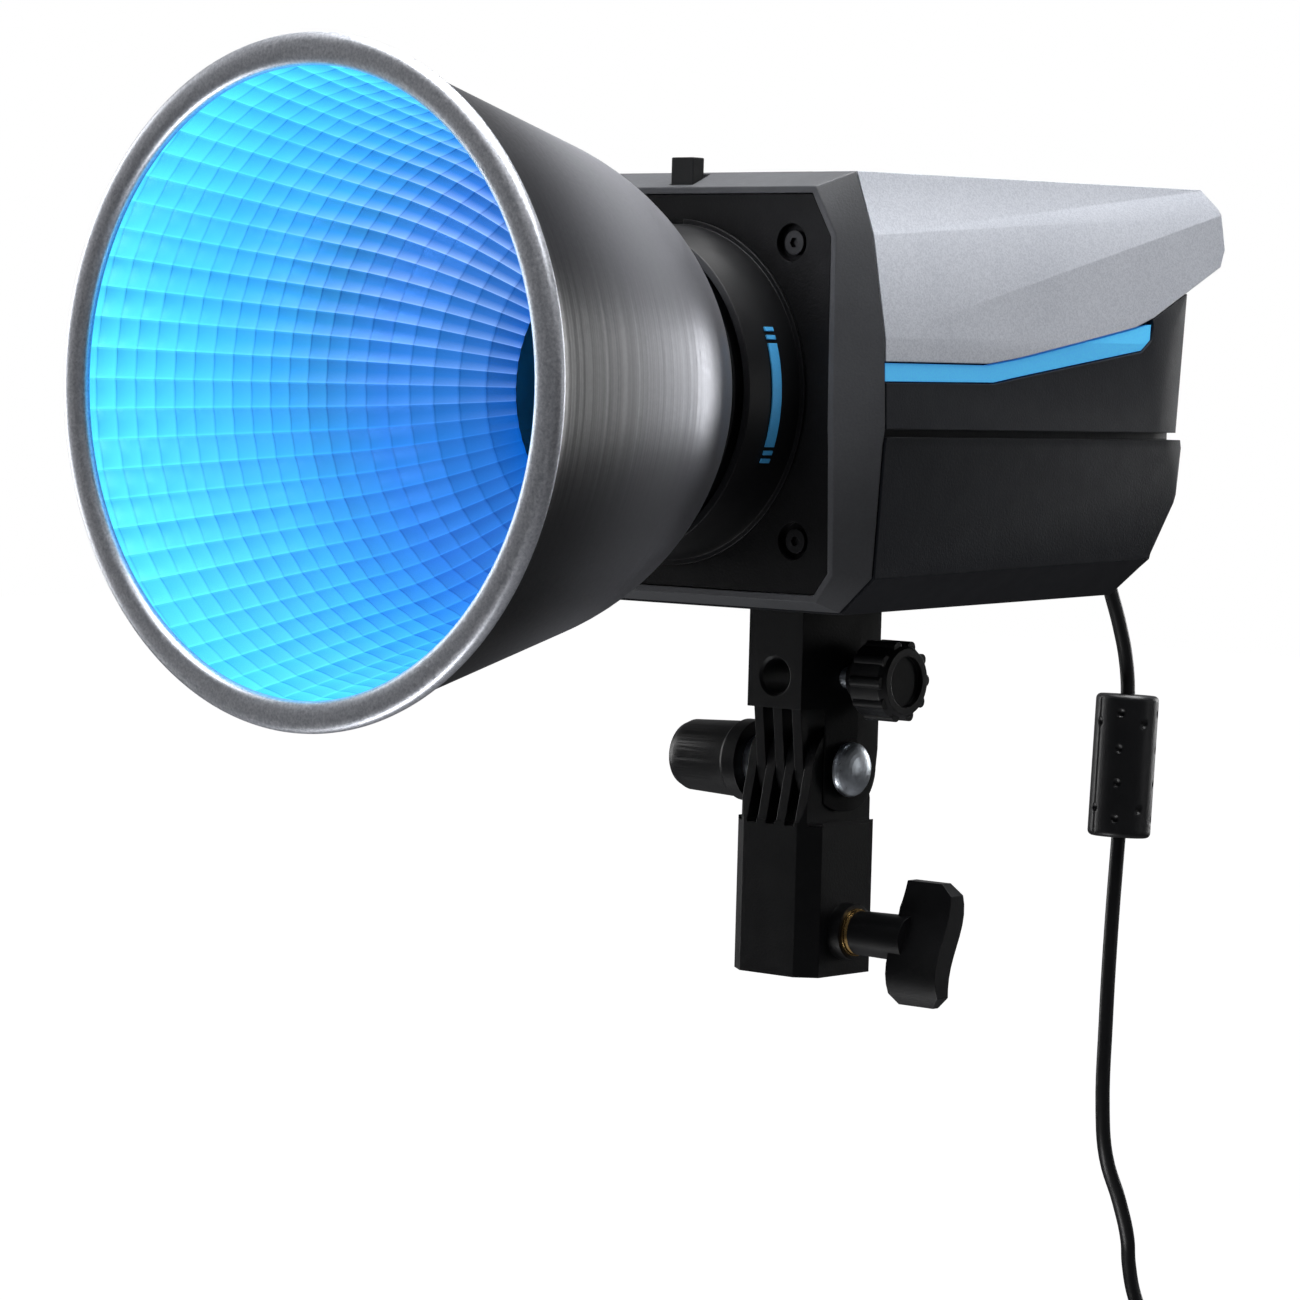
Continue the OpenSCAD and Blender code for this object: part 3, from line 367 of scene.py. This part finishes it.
def screen():
    p = Paint("screen_black", 0.12, coat=0.6)
    p.colour(p.ramp(p.noise(0.01, 2), [(0.3, (0.004, 0.005, 0.008)), (0.7, (0.009, 0.011, 0.016))]))
    p.bump(p.noise(0.002, 2), 0.03, 0.0001)
    return p


M["phosphor"] = phosphor()
M["clear_glass"] = clear_glass()
M["screen_black"] = screen()


def spun_paint():
    """Dark satin coat on spun metal, with the faint rings the spinning leaves, and a painted highlight: paler
    and more metallic towards the neck.
    """
    p = Paint("spun_paint", 0.3, 0.0, 0.6)
    cloud = p.noise(0.016, 3)
    rings = p.noise(0.0035, 2, (0.001, 1, 0.001))
    split = p.node("ShaderNodeSeparateXYZ")
    p.link(p.coords, split.inputs[0])
    # painted highlight: colour and metallic rise from the flare towards the neck
    rise = p.node("ShaderNodeMath", operation="POWER")
    p.link(p.mapped(split.outputs["Y"], LAMP.y - 0.125, LAMP.y - 0.060, 0.0, 1.0), rise.inputs[0])
    rise.inputs[1].default_value = 1.9
    painted_neck_highlight = p.mapped(rise.outputs[0], 0.0, 1.0, 0.0, 0.85)
    p.link(painted_neck_highlight, p.bsdf.inputs["Metallic"])
    dark = p.ramp(cloud, [(0.3, (0.0100, 0.0106, 0.0135)), (0.7, (0.0140, 0.0148, 0.0185))])
    p.colour(p.mix(painted_neck_highlight, dark, (0.56, 0.57, 0.62)))
    p.link(p.mapped(p.noise(0.0012, 4), 0.3, 0.7, 0.30, 0.40), p.bsdf.inputs["Roughness"])
    p.bump(rings, 0.15, 0.0008)
    return p


def rim_paint():
    """Rolled rim: the same coat, burnished and finely textured."""
    p = Paint("rim_paint", 0.42, 0.85, 0.5)
    cells = p.noise(0.0007, 4)
    p.colour(p.ramp(cells, [(0.3, (0.60, 0.63, 0.70)), (0.7, (0.92, 0.94, 1.0))]))
    p.link(p.mapped(cells, 0.3, 0.7, 0.34, 0.48), p.bsdf.inputs["Roughness"])
    p.bump(cells, 0.3, 0.00009)
    return p


def facet_mirror():
    """Bright faceted lining with the light of its lamp painted on: glowing light blue at the mouth, deep blue
    at the neck.
    """
    p = Paint("facet_mirror", 0.22, 1.0, 0.5)
    split = p.node("ShaderNodeSeparateXYZ")
    p.link(p.coords, split.inputs[0])
    depth = p.mapped(split.outputs["Y"], LAMP.y - 0.131, LAMP.y - 0.020, 0.0, 1.0)
    # painted shade: the mirror's colour darkens from the mouth towards the neck
    p.colour(p.ramp(depth, [(0.0, (0.26, 0.50, 0.62)), (0.45, (0.20, 0.42, 0.62)), (0.8, (0.16, 0.26, 0.50)),
                            (1.0, (0.03, 0.12, 0.40))]))
    # painted glow: the lining glows, brightest at the mouth, though it is no lamp
    painted_glow = p.ramp(depth, [(0.0, (0.09, 0.66, 0.96)), (0.3, (0.075, 0.56, 0.92)), (0.5, (0.050, 0.46, 0.88)),
                          (0.75, (0.025, 0.20, 0.62)), (0.94, (0.022, 0.12, 0.38)), (1.0, (0.0, 0.07, 0.32))])
    # painted shade: each facet has its own brightness and falls off from one side to the other, with a
    # painted light line at its side borders and a dark one at its ring borders
    height = p.node("ShaderNodeMath", operation="SUBTRACT")
    p.link(split.outputs["Z"], height.inputs[0])
    height.inputs[1].default_value = LAMP.z
    angle = p.node("ShaderNodeMath", operation="ARCTAN2")
    p.link(height.outputs[0], angle.inputs[0])
    p.link(split.outputs["X"], angle.inputs[1])
    place = p.node("ShaderNodeCombineXYZ")
    for k, (value, scale, offset) in enumerate((
            (angle.outputs[0], FACETS / (2 * math.pi), FACETS),
            (split.outputs["Y"], 1 / FACET_LONG, -(LAMP.y + FACET_START * MM) / FACET_LONG + 4))):
        m = p.node("ShaderNodeMath", operation="MULTIPLY_ADD")
        p.link(value, m.inputs[0])
        m.inputs[1].default_value, m.inputs[2].default_value = scale, offset
        whole = p.node("ShaderNodeMath", operation="FLOOR")
        p.link(m.outputs[0], whole.inputs[0])
        p.link(whole.outputs[0], place.inputs[k])
    toss, column = p.node("ShaderNodeTexWhiteNoise"), p.node("ShaderNodeTexWhiteNoise")
    p.link(place.outputs[0], toss.inputs["Vector"])
    only = p.node("ShaderNodeVectorMath", operation="MULTIPLY")
    p.link(place.outputs[0], only.inputs[0])
    only.inputs[1].default_value = (1, 0, 0)
    p.link(only.outputs[0], column.inputs["Vector"])
    across = p.wave(angle.outputs[0], FACETS / (2 * math.pi))
    along = p.wave(split.outputs["Y"], 1 / FACET_LONG, -(LAMP.y + FACET_START * MM) / FACET_LONG)
    side, step = p.fraction(angle.outputs[0], FACETS / (2 * math.pi), FACETS), p.fraction(
        split.outputs["Y"], 1 / FACET_LONG, -(LAMP.y + FACET_START * MM) / FACET_LONG)
    lit = p.total([p.mapped(toss.outputs["Value"], 0.0, 1.0, 0.70, 0.78),
                   p.mapped(column.outputs["Value"], 0.0, 1.0, -0.04, 0.08),
                   p.mapped(side, 0.0, 1.0, -0.22, 0.26), p.mapped(step, 0.0, 1.0, -0.18, 0.18),
                   p.mapped(across, 0.80, 1.0, 0.0, 0.26), p.mapped(along, 0.82, 1.0, 0.0, -0.26)])
    # painted reflection: pale streaks along the columns, high up and towards the neck
    high = p.mapped(split.outputs["Z"], LAMP.z - 0.012, LAMP.z + 0.030, 0.0, 1.0)
    deep = p.mapped(depth, 0.30, 0.72, 0.0, 1.0)
    streak = p.mapped(side, 0.45, 1.0, 0.05, 0.60)
    pale = p.node("ShaderNodeMath", operation="MULTIPLY")
    p.link(high, pale.inputs[0])
    p.link(deep, pale.inputs[1])
    painted_reflection = p.node("ShaderNodeMath", operation="MULTIPLY")
    p.link(pale.outputs[0], painted_reflection.inputs[0])
    p.link(streak, painted_reflection.inputs[1])
    p.link(p.mix(painted_reflection.outputs[0], painted_glow, (0.46, 0.66, 1.0)), p.bsdf.inputs["Emission Color"])
    # the painted facet shading sets how strongly the lining glows
    p.link(lit, p.bsdf.inputs["Emission Strength"])
    p.bump(p.noise(0.002, 3), 0.04, 0.0002)
    return p


def set_material(obj, paint):
    for s in obj.material_slots:
        s.material = paint.mat
    if not obj.material_slots:
        obj.data.materials.append(paint.mat)


slot_of = {s["node"]: s["material_slot"] for s in frame["record"]["subparts"]}
for node, obj in frame["nodes"].items():
    if slot_of[node] in M:
        set_material(obj, M[slot_of[node]])
set_material(frame["nodes"]["front_screws"], M["collar_black"])

# ---- reflector -----------------------------------------------------------

ARC_R, ARC_Y, ARC_C = 84, -83.8, -19.5
RIM_BACK = RIM_FRONT + 6.4
BOWL_T, RIM_R, LIP_R = 1.2, 80.6, 73.0
BEAD_MIDDLE, BEAD_HALF, BEAD_SQUARE = 3.1, 2.3, 0.8     # rolled rim of the bowl
PILLOW_ACROSS, PILLOW_ALONG = 0.26, 0.07                # bulge of a facet in each direction, mm
FACET_SUB = 5                                           # mesh steps per facet
OUTER_ROWS = 34


def bowl_r(y):
    if y > FLARE_Y:
        return ARC_C + math.sqrt(ARC_R ** 2 - (y - ARC_Y) ** 2)
    return bowl_r(FLARE_Y + 0.01) + 0.2556 * (FLARE_Y - y)


def reflector():
    """Spun bowl, rolled rim and faceted lining in one closed mesh; facets are pillows with sharp borders."""
    sub = FACET_SUB
    cols = FACETS * sub
    rows = []                                     # (radius, y, pillow row position or None, material)
    for k in range(OUTER_ROWS + 1):
        y = NECK_END + (RIM_BACK - 0.2 - NECK_END) * k / OUTER_ROWS
        rows.append((bowl_r(y), y, None, 0))
    mid_r, half_r = (RIM_R + LIP_R) / 2, (RIM_R - LIP_R) / 2
    mid_y, half_y = RIM_FRONT + BEAD_MIDDLE, BEAD_HALF
    for k in range(29):
        a = math.radians(62 - 250 * k / 28)       # round the rolled edge, from behind it to the lip
        c, s = math.cos(a), math.sin(a)
        r = mid_r + half_r * math.copysign(abs(c) ** BEAD_SQUARE, c)
        y = mid_y + half_y * math.copysign(abs(s) ** BEAD_SQUARE, s)
        rows.append((r, y, None, 1))
    for k in range(RINGS * sub + 1):
        y = FACET_START + (NECK_END - FACET_START) * k / (RINGS * sub)
        rows.append((bowl_r(y) - BOWL_T, y, k / sub, 2))
    verts, kinds = [], []
    for r, y, place, kind in rows:
        for j in range(cols):
            a = 2 * math.pi * (j / sub) / FACETS
            rr = r
            if place is not None:
                u = (j / sub) % 1 * 2 - 1
                v = place % 1 * 2 - 1
                flat = r * (math.cos(math.pi / FACETS) / math.cos(math.pi / FACETS * u) - 1)
                bulge = PILLOW_ACROSS * (1 - u * u) + PILLOW_ALONG * (1 - v * v)
                rr = r + flat * 0.5 - bulge * min(1, r / 60)
            verts.append((LAMP.x + rr * math.cos(a) * MM, LAMP.y + y * MM, LAMP.z + rr * math.sin(a) * MM))
        kinds.append(kind)
    faces = grid_faces(len(rows), cols)
    last = (len(rows) - 1) * cols
    faces += [(last + j, last + (j + 1) % cols, (j + 1) % cols, j) for j in range(cols)]
    mesh = mesh_from("reflector", verts, faces)
    for k in range(len(rows)):
        for j in range(cols):
            mesh.polygons[k * cols + j].material_index = kinds[min(k + 1, len(rows) - 1)]
    bm = bmesh.new()
    bm.from_mesh(mesh)
    bmesh.ops.recalc_face_normals(bm, faces=bm.faces)
    first = next(i for i, row in enumerate(rows) if row[2] is not None)
    bm.verts.ensure_lookup_table()
    for e in bm.edges:
        (i, a), (k, b) = (divmod(v.index, cols) for v in e.verts)
        if i >= first and k >= first:
            along = i == k and (i - first) % sub == 0
            across = a == b and a % sub == 0
            e.smooth = not (along or across)
    bm.to_mesh(mesh)
    bm.free()
    obj = add("reflector", mesh, "reflector", ["reflector_bowl"])
    for paint in (spun_paint(), rim_paint(), facet_mirror()):
        mesh.materials.append(paint.mat)
    return obj


reflector()

# ---- cord ----------------------------------------------------------------

CORD_D = 0.0042
ROUTE = [(0, 108, 121), (0.3, 115.6, 119.7), (1.5, 121.8, 115.4), (3.2, 125.2, 109), (4.9, 126.3, 102.5),
         (6.4, 127.3, 96.5), (7.8, 129.6, 88.1), (8.5, 132.4, 77.9), (8.8, 133.4, 68.4), (8.8, 132.6, 46.8),
         (8.8, 131.05, 28), (8.8, 129, 1.8), (8.8, 127.8, -24.8), (8.8, 127.7, -50.5), (8.8, 130, -63.4),
         (8.8, 137.5, -77.6), (8.8, 142.2, -89.1), (8.8, 143.2, -96), (10.4, 144.6, -106),
         (14.2, 147.4, -116.5), (17.3, 151, -125.5)]
FERRITE_TOP, FERRITE_LOW = Vector((8.8, 133.4, 68.4)) * MM, Vector((8.8, 131.05, 28)) * MM
COIL_AT = Vector((8.8, 138.5, -150))
OUTER_R, INNER_R, PITCH = 25.1, 20.9, 4.2
LEAD = [(19, 159.4, -156), (21, 159.4, -163), (21.8, 159.4, -171), (21.8, 159.4, -189)]


def cord_points():
    """Centreline in mm: route, four turns out along the coil, four turns back inside them, lead."""
    pts = [Vector(p) for p in ROUTE]
    per_turn, turns, step_in = 16, 4, 0.125
    start = math.radians(45)
    total = turns * 2 + step_in
    for k in range(int(total * per_turn) + 1):
        t = k / per_turn
        a = start - 2 * math.pi * t
        inside = min(max((t - turns) / step_in, 0), 1)
        r = OUTER_R + (INNER_R - OUTER_R) * inside
        x = 2 * PITCH - PITCH * min(t, turns) + PITCH * max(t - turns - step_in, 0)
        pts.append(COIL_AT + Vector((x, r * math.cos(a), r * math.sin(a))))
    return pts + [Vector(p) for p in LEAD]


def cord_curve():
    pts = cord_points()
    data = bpy.data.curves.new("cord", "CURVE")
    data.dimensions = "3D"
    data.bevel_depth = 1
    data.bevel_resolution = 4
    data.resolution_u = 5
    data.use_fill_caps = True
    spline = data.splines.new("BEZIER")
    spline.bezier_points.add(len(pts) - 1)
    for b, p in zip(spline.bezier_points, pts):
        b.co = p * MM
        b.radius = CORD_D / 2
        b.handle_left_type = b.handle_right_type = "AUTO"
    obj = bpy.data.objects.new("cord", data)
    bpy.context.scene.collection.objects.link(obj)
    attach(obj, "head")
    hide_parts("cord_tube", "cord_coil", "cord_lead")
    data.materials.append(M["cord_black"].mat)
    return obj, pts


cord, cord_pts = cord_curve()


def frame_of(direction):
    d = Vector(direction).normalized()
    side = Vector((1, 0, 0)) if abs(d.x) < 0.9 else Vector((0, 1, 0))
    side = (side - d * side.dot(d)).normalized()
    return d, side, d.cross(side)


def ribbed(r0, r1, t0, t1, count, depth, share=0.45):
    """Profile of a tapered sleeve with grooves round it."""
    out = []
    step = (t1 - t0) / count
    for k in range(count):
        for place, inward in ((0.0, 0), (1 - share - 0.08, 0), (1 - share, depth * 0.7),
                              (1 - share / 2, depth), (0.94, depth * 0.7)):
            f = (k + place) / count
            out.append((r0 + (r1 - r0) * f - inward, t0 + step * (k + place)))
    return out + [(r1, t1)]


def plug():
    """Low-voltage plug: grip with finger rings, then a segmented strain relief."""
    a = [(0.0, 0.0698), (0.0033, 0.0698), (0.0035, 0.0702), (0.0035, 0.0768), (0.0054, 0.0769),
         (0.006, 0.0775)]
    a += ribbed(0.006, 0.006, 0.0785, 0.0835, 3, 0.0005)
    a += [(0.006, 0.0842), (0.0056, 0.0853), (0.0048, 0.0868), (0.0044, 0.0872)]
    a += ribbed(0.0044, 0.0027, 0.0876, 0.1068, 8, 0.0006)
    a += [(0.00255, 0.1076), (0.0023, 0.108), (0.0, 0.108)]
    mesh = turned("plug", a, (0, 1, 0), (0, 0, 0.121), 64)
    obj = add("plug", mesh, "head", ["cord_plug"])
    mesh.materials.append(M["cord_black"].mat)
    return obj


def ferrite():
    """Two moulded shells round the cord, with a seam, recessed ends and small vent dimples."""
    span = FERRITE_LOW - FERRITE_TOP
    d, side, other = frame_of(span)
    long, cols, rows = span.length, 144, 84
    body, edge, lip = 0.0089, 0.0015, 0.0028
    dimples = [(0.20, 20), (0.80, 20), (0.20, 200), (0.80, 200), (0.13, 65), (0.87, 65), (0.38, 65),
               (0.62, 65), (0.13, -25), (0.87, -25), (0.38, -25), (0.62, -25), (0.20, 110), (0.80, 110)]
    dimples = [(f * long, math.radians(a)) for f, a in dimples]
    verts, rings = [], []
    rings += [(0.0023, 0.0009), (lip, 0.0007), (lip + 0.0004, 0.0001), (body - edge - 0.0004, 0.0),
              (body - edge, 0.0001)]
    for k in range(6):
        a = math.pi / 2 * k / 5
        rings.append((body - edge + edge * math.sin(a), edge - edge * math.cos(a)))
    rings += [(body, edge + (long - 2 * edge) * k / rows) for k in range(1, rows)]
    rings += [(r, long - t) for r, t in reversed(rings[:11])]
    for r, t in rings:
        for j in range(cols):
            a = 2 * math.pi * j / cols
            rr = r
            if r > body - 0.0002:
                for dt, da in dimples:
                    away = math.hypot(t - dt, body * (math.remainder(a - da, 2 * math.pi)))
                    rr -= 0.0007 * max(0, 1 - (away / 0.00115) ** 4) if away < 0.00115 else 0
                seam = min(abs(math.remainder(a - math.radians(s), 2 * math.pi)) for s in (-70, 110 - 0.001))
                if seam < 0.05:
                    rr -= 0.00028 * (1 - seam / 0.05)
            verts.append(FERRITE_TOP + d * t + (side * math.cos(a) + other * math.sin(a)) * rr)
    faces = grid_faces(len(rings), cols)
    last = (len(rings) - 1) * cols
    faces += [tuple(range(cols))[::-1], tuple(last + j for j in range(cols))]
    mesh = mesh_from("ferrite", verts, faces)
    bm = bmesh.new()
    bm.from_mesh(mesh)
    bmesh.ops.recalc_face_normals(bm, faces=bm.faces)
    bm.to_mesh(mesh)
    bm.free()
    sharpen(mesh, 40)
    obj = add("ferrite", mesh, "head", ["cord_ferrite"])
    mesh.materials.append(M["ferrite_black"].mat)
    return obj


def tie():
    """Hook-and-loop strap round the coil, with its free end laid over the outside."""
    outline, n = [], 72
    half_x, half_r, top = 0.0108, 0.0045, COIL_AT.z * MM + 0.023
    for k in range(n + 8):
        a = 2 * math.pi * k / n + math.pi / 2
        lift = 0.0009 * min(1, max(0, (k - n + 2) / 3)) if k > n - 2 else 0
        c, s = math.cos(a), math.sin(a)
        x = (half_x + lift) * math.copysign(abs(c) ** 0.55, c)
        z = (half_r + lift) * math.copysign(abs(s) ** 0.55, s)
        outline.append((x, z, c, s))
    section = [(-5, 0), (-4.8, 0.55), (0, 0.7), (4.8, 0.55), (5, 0), (4.7, -0.12), (0, -0.12), (-4.7, -0.12)]
    verts = []
    for x, z, c, s in outline:
        for along, out in section:
            wave = 0.12 * math.sin(along * 2.2)
            verts.append((COIL_AT.x * MM + x + c * out * MM, (COIL_AT.y + along) * MM,
                          top + z + s * (out + wave * (out > 0)) * MM))
    m = len(section)
    faces = grid_faces(len(outline), m)
    faces += [tuple(range(m))[::-1], tuple((len(outline) - 1) * m + j for j in range(m))]
    mesh = mesh_from("coil_strap", verts, faces)
    bm = bmesh.new()
    bm.from_mesh(mesh)
    bmesh.ops.recalc_face_normals(bm, faces=bm.faces)
    bm.to_mesh(mesh)
    bm.free()
    sharpen(mesh, 50)
    obj = add("coil_strap", mesh, "head", ["coil_tie"])
    mesh.materials.append(moulded("strap_weave", (0.012, 0.012, 0.014), 0.8, 0.0009, 0.6).mat)
    return obj


def connector():
    """In-line plug on the cord's end: relief, grip with a flat ring, plated locking shell."""
    a = [(0.0, 0.0), (0.0023, 0.0), (0.0026, 0.0006)]
    a += ribbed(0.0027, 0.0046, 0.001, 0.0185, 7, 0.0006)
    a += [(0.0048, 0.0195), (0.0057, 0.0203), (0.006, 0.0212)]
    a += ribbed(0.006, 0.006, 0.024, 0.040, 8, 0.0004)
    a += [(0.006, 0.0445), (0.0057, 0.0455), (0.0048, 0.046), (0.0048, 0.0464)]
    shell = [(0.0041, 0.0462), (0.0043, 0.0466), (0.0043, 0.0478), (0.004, 0.048), (0.004, 0.0552),
             (0.0037, 0.056), (0.0031, 0.056), (0.0029, 0.0556), (0.0029, 0.050), (0.0, 0.050)]
    mesh = turned("connector", a + shell, (0, 0, -1), Vector(LEAD[-1]) * MM, 64)
    obj = add("connector", mesh, "head", ["cord_connector"])
    mesh.materials.append(M["cord_black"].mat)
    mesh.materials.append(M["socket_steel"].mat)
    cut = LEAD[-1][2] * MM - 0.0463
    for p in mesh.polygons:
        if p.center.z < cut:
            p.material_index = 1
    return obj


cord_pieces = [plug(), ferrite(), tie(), connector()]
bpy.context.view_layer.update()


# ---- softened copies of the CAD shells and knobs ---------------------------


def softened(node, name, paint, width, segments=2, angle=30):
    """A copy of a CAD node whose corners are rounded, so that its edges catch the light."""
    src = frame["nodes"][node]
    mesh = src.data.copy()
    mesh.name = name
    bm = bmesh.new()
    bm.from_mesh(mesh)
    bmesh.ops.remove_doubles(bm, verts=bm.verts, dist=2e-6)
    bmesh.ops.dissolve_limit(bm, angle_limit=math.radians(0.5), verts=bm.verts, edges=bm.edges)
    for e in bm.edges:
        e.smooth = len(e.link_faces) != 2 or e.calc_face_angle(0) < math.radians(angle)
    for f in bm.faces:
        f.smooth = True
    clean = bpy.data.meshes.new(name)
    bm.to_mesh(clean)
    bm.free()
    bpy.data.meshes.remove(mesh)
    obj = bpy.data.objects.new(name, clean)
    bpy.context.scene.collection.objects.link(obj)
    obj.matrix_world = src.matrix_world
    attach(obj, src["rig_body"])
    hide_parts(node)
    clean.materials.clear()
    clean.materials.append(paint.mat)
    bevel = obj.modifiers.new("edges", "BEVEL")
    bevel.width = width
    bevel.segments = segments
    bevel.limit_method = "ANGLE"
    bevel.angle_limit = math.radians(angle)
    bevel.harden_normals = True
    bevel.use_clamp_overlap = True
    return obj


SOFT = [("front_bezel", 0.0006), ("upper_shell", 0.0006), ("side_panel_left", 0.0004),
        ("side_panel_right", 0.0004), ("stand_receiver", 0.0005), ("tilt_bracket", 0.0005),
        ("clamp_knob", 0.0009), ("umbrella_knob", 0.0005), ("tilt_lever", 0.0003), ("mount_collar", 0.0003),
        ("lower_shell", 0.0005), ("rear_panel", 0.0005), ("top_cover", 0.0004), ("release_tab", 0.0003),
        ("dimmer_knob", 0.0004), ("colour_knob", 0.0004)]
for node, width in SOFT:
    softened(node, node + "_soft", M[slot_of[node]], width)

# ---- studio --------------------------------------------------------------


def floor():
    size, z = 30, -2.0
    mesh = mesh_from("studio_floor", [(-size, -size, z), (size, -size, z), (size, size, z), (-size, size, z)],
                     [(0, 1, 2, 3)], False)
    obj = bpy.data.objects.new("studio_floor", mesh)
    bpy.context.scene.collection.objects.link(obj)
    paint = Paint("studio_floor", 0.8)
    paint.colour(paint.ramp(paint.noise(0.5, 2), [(0.3, (0.30, 0.30, 0.31)), (0.7, (0.34, 0.34, 0.35))]))
    paint.bsdf.inputs["Emission Color"].default_value = (1, 1, 1, 1)
    seen = paint.node("ShaderNodeLightPath").outputs["Is Camera Ray"]
    paint.link(seen, paint.bsdf.inputs["Emission Strength"])
    mesh.materials.append(paint.mat)


def sky():
    """White behind the object and darker towards the camera's side, so that dark paint keeps its depth."""
    world = bpy.data.worlds.new("studio")
    bpy.context.scene.world = world
    world.use_nodes = True
    tree = world.node_tree
    tree.nodes.clear()
    new, link = tree.nodes.new, tree.links.new
    coords = new("ShaderNodeTexCoord")
    dot = new("ShaderNodeVectorMath")
    dot.operation = "DOT_PRODUCT"
    dot.inputs[1].default_value = -back
    link(coords.outputs["Generated"], dot.inputs[0])
    place = new("ShaderNodeMapRange")
    place.inputs["From Min"].default_value = -1
    link(dot.outputs["Value"], place.inputs["Value"])
    ramp = new("ShaderNodeValToRGB")
    e = ramp.color_ramp.elements
    stops = [(0.0, 0.05), (0.40, 0.03), (0.62, 0.06), (0.90, 0.14), (1.0, 0.30)]
    while len(e) < len(stops):
        e.new(0.5)
    for item, (at, v) in zip(e, stops):
        item.position, item.color = at, (v, v, v * 1.02, 1)
    link(place.outputs["Result"], ramp.inputs["Fac"])
    seen, lit = new("ShaderNodeBackground"), new("ShaderNodeBackground")
    link(ramp.outputs["Color"], lit.inputs["Color"])
    path, mix, out = new("ShaderNodeLightPath"), new("ShaderNodeMixShader"), new("ShaderNodeOutputWorld")
    link(path.outputs["Is Camera Ray"], mix.inputs["Fac"])
    link(lit.outputs[0], mix.inputs[1])
    link(seen.outputs[0], mix.inputs[2])
    seen.inputs["Color"].default_value = (1, 1, 1, 1)
    link(mix.outputs[0], out.inputs["Surface"])


def softbox(name, place, target, width, height, power, colour=(1, 1, 1)):
    data = bpy.data.lights.new(name, "AREA")
    data.shape = "RECTANGLE"
    data.size, data.size_y, data.energy, data.color = width, height, power, colour
    obj = bpy.data.objects.new(name, data)
    bpy.context.scene.collection.objects.link(obj)
    d = (Vector(target) - Vector(place)).normalized()
    obj.location = place
    obj.rotation_euler = d.to_track_quat("-Z", "Y").to_euler()
    obj.visible_camera = False


sky()
floor()
CENTRE = (0, 0, 0.12)
softbox("overhead", (0.12, 0.25, 1.95), CENTRE, 1.6, 1.6, 78)
softbox("key", (1.00, 0.25, 1.55), CENTRE, 0.7, 0.7, 6)
softbox("right_back", (0.05, 1.80, 0.22), CENTRE, 0.45, 0.6, 6)
softbox("side_strip", (1.30, 0.95, 0.20), CENTRE, 0.4, 0.5, 0.8)
softbox("left", (-1.60, -0.30, 0.25), (0, -0.18, 0.15), 0.5, 1.0, 7)
softbox("front_top", (-0.35, -0.95, 1.50), (0, -0.18, 0.15), 0.7, 0.5, 9)
softbox("front_floor", (-0.35, -0.95, -1.30), (0, -0.18, 0.15), 0.7, 0.5, 9)

bpy.context.scene.view_settings.view_transform = "Standard"
bpy.context.scene.view_settings.look = "None"

bpy.context.view_layer.update()
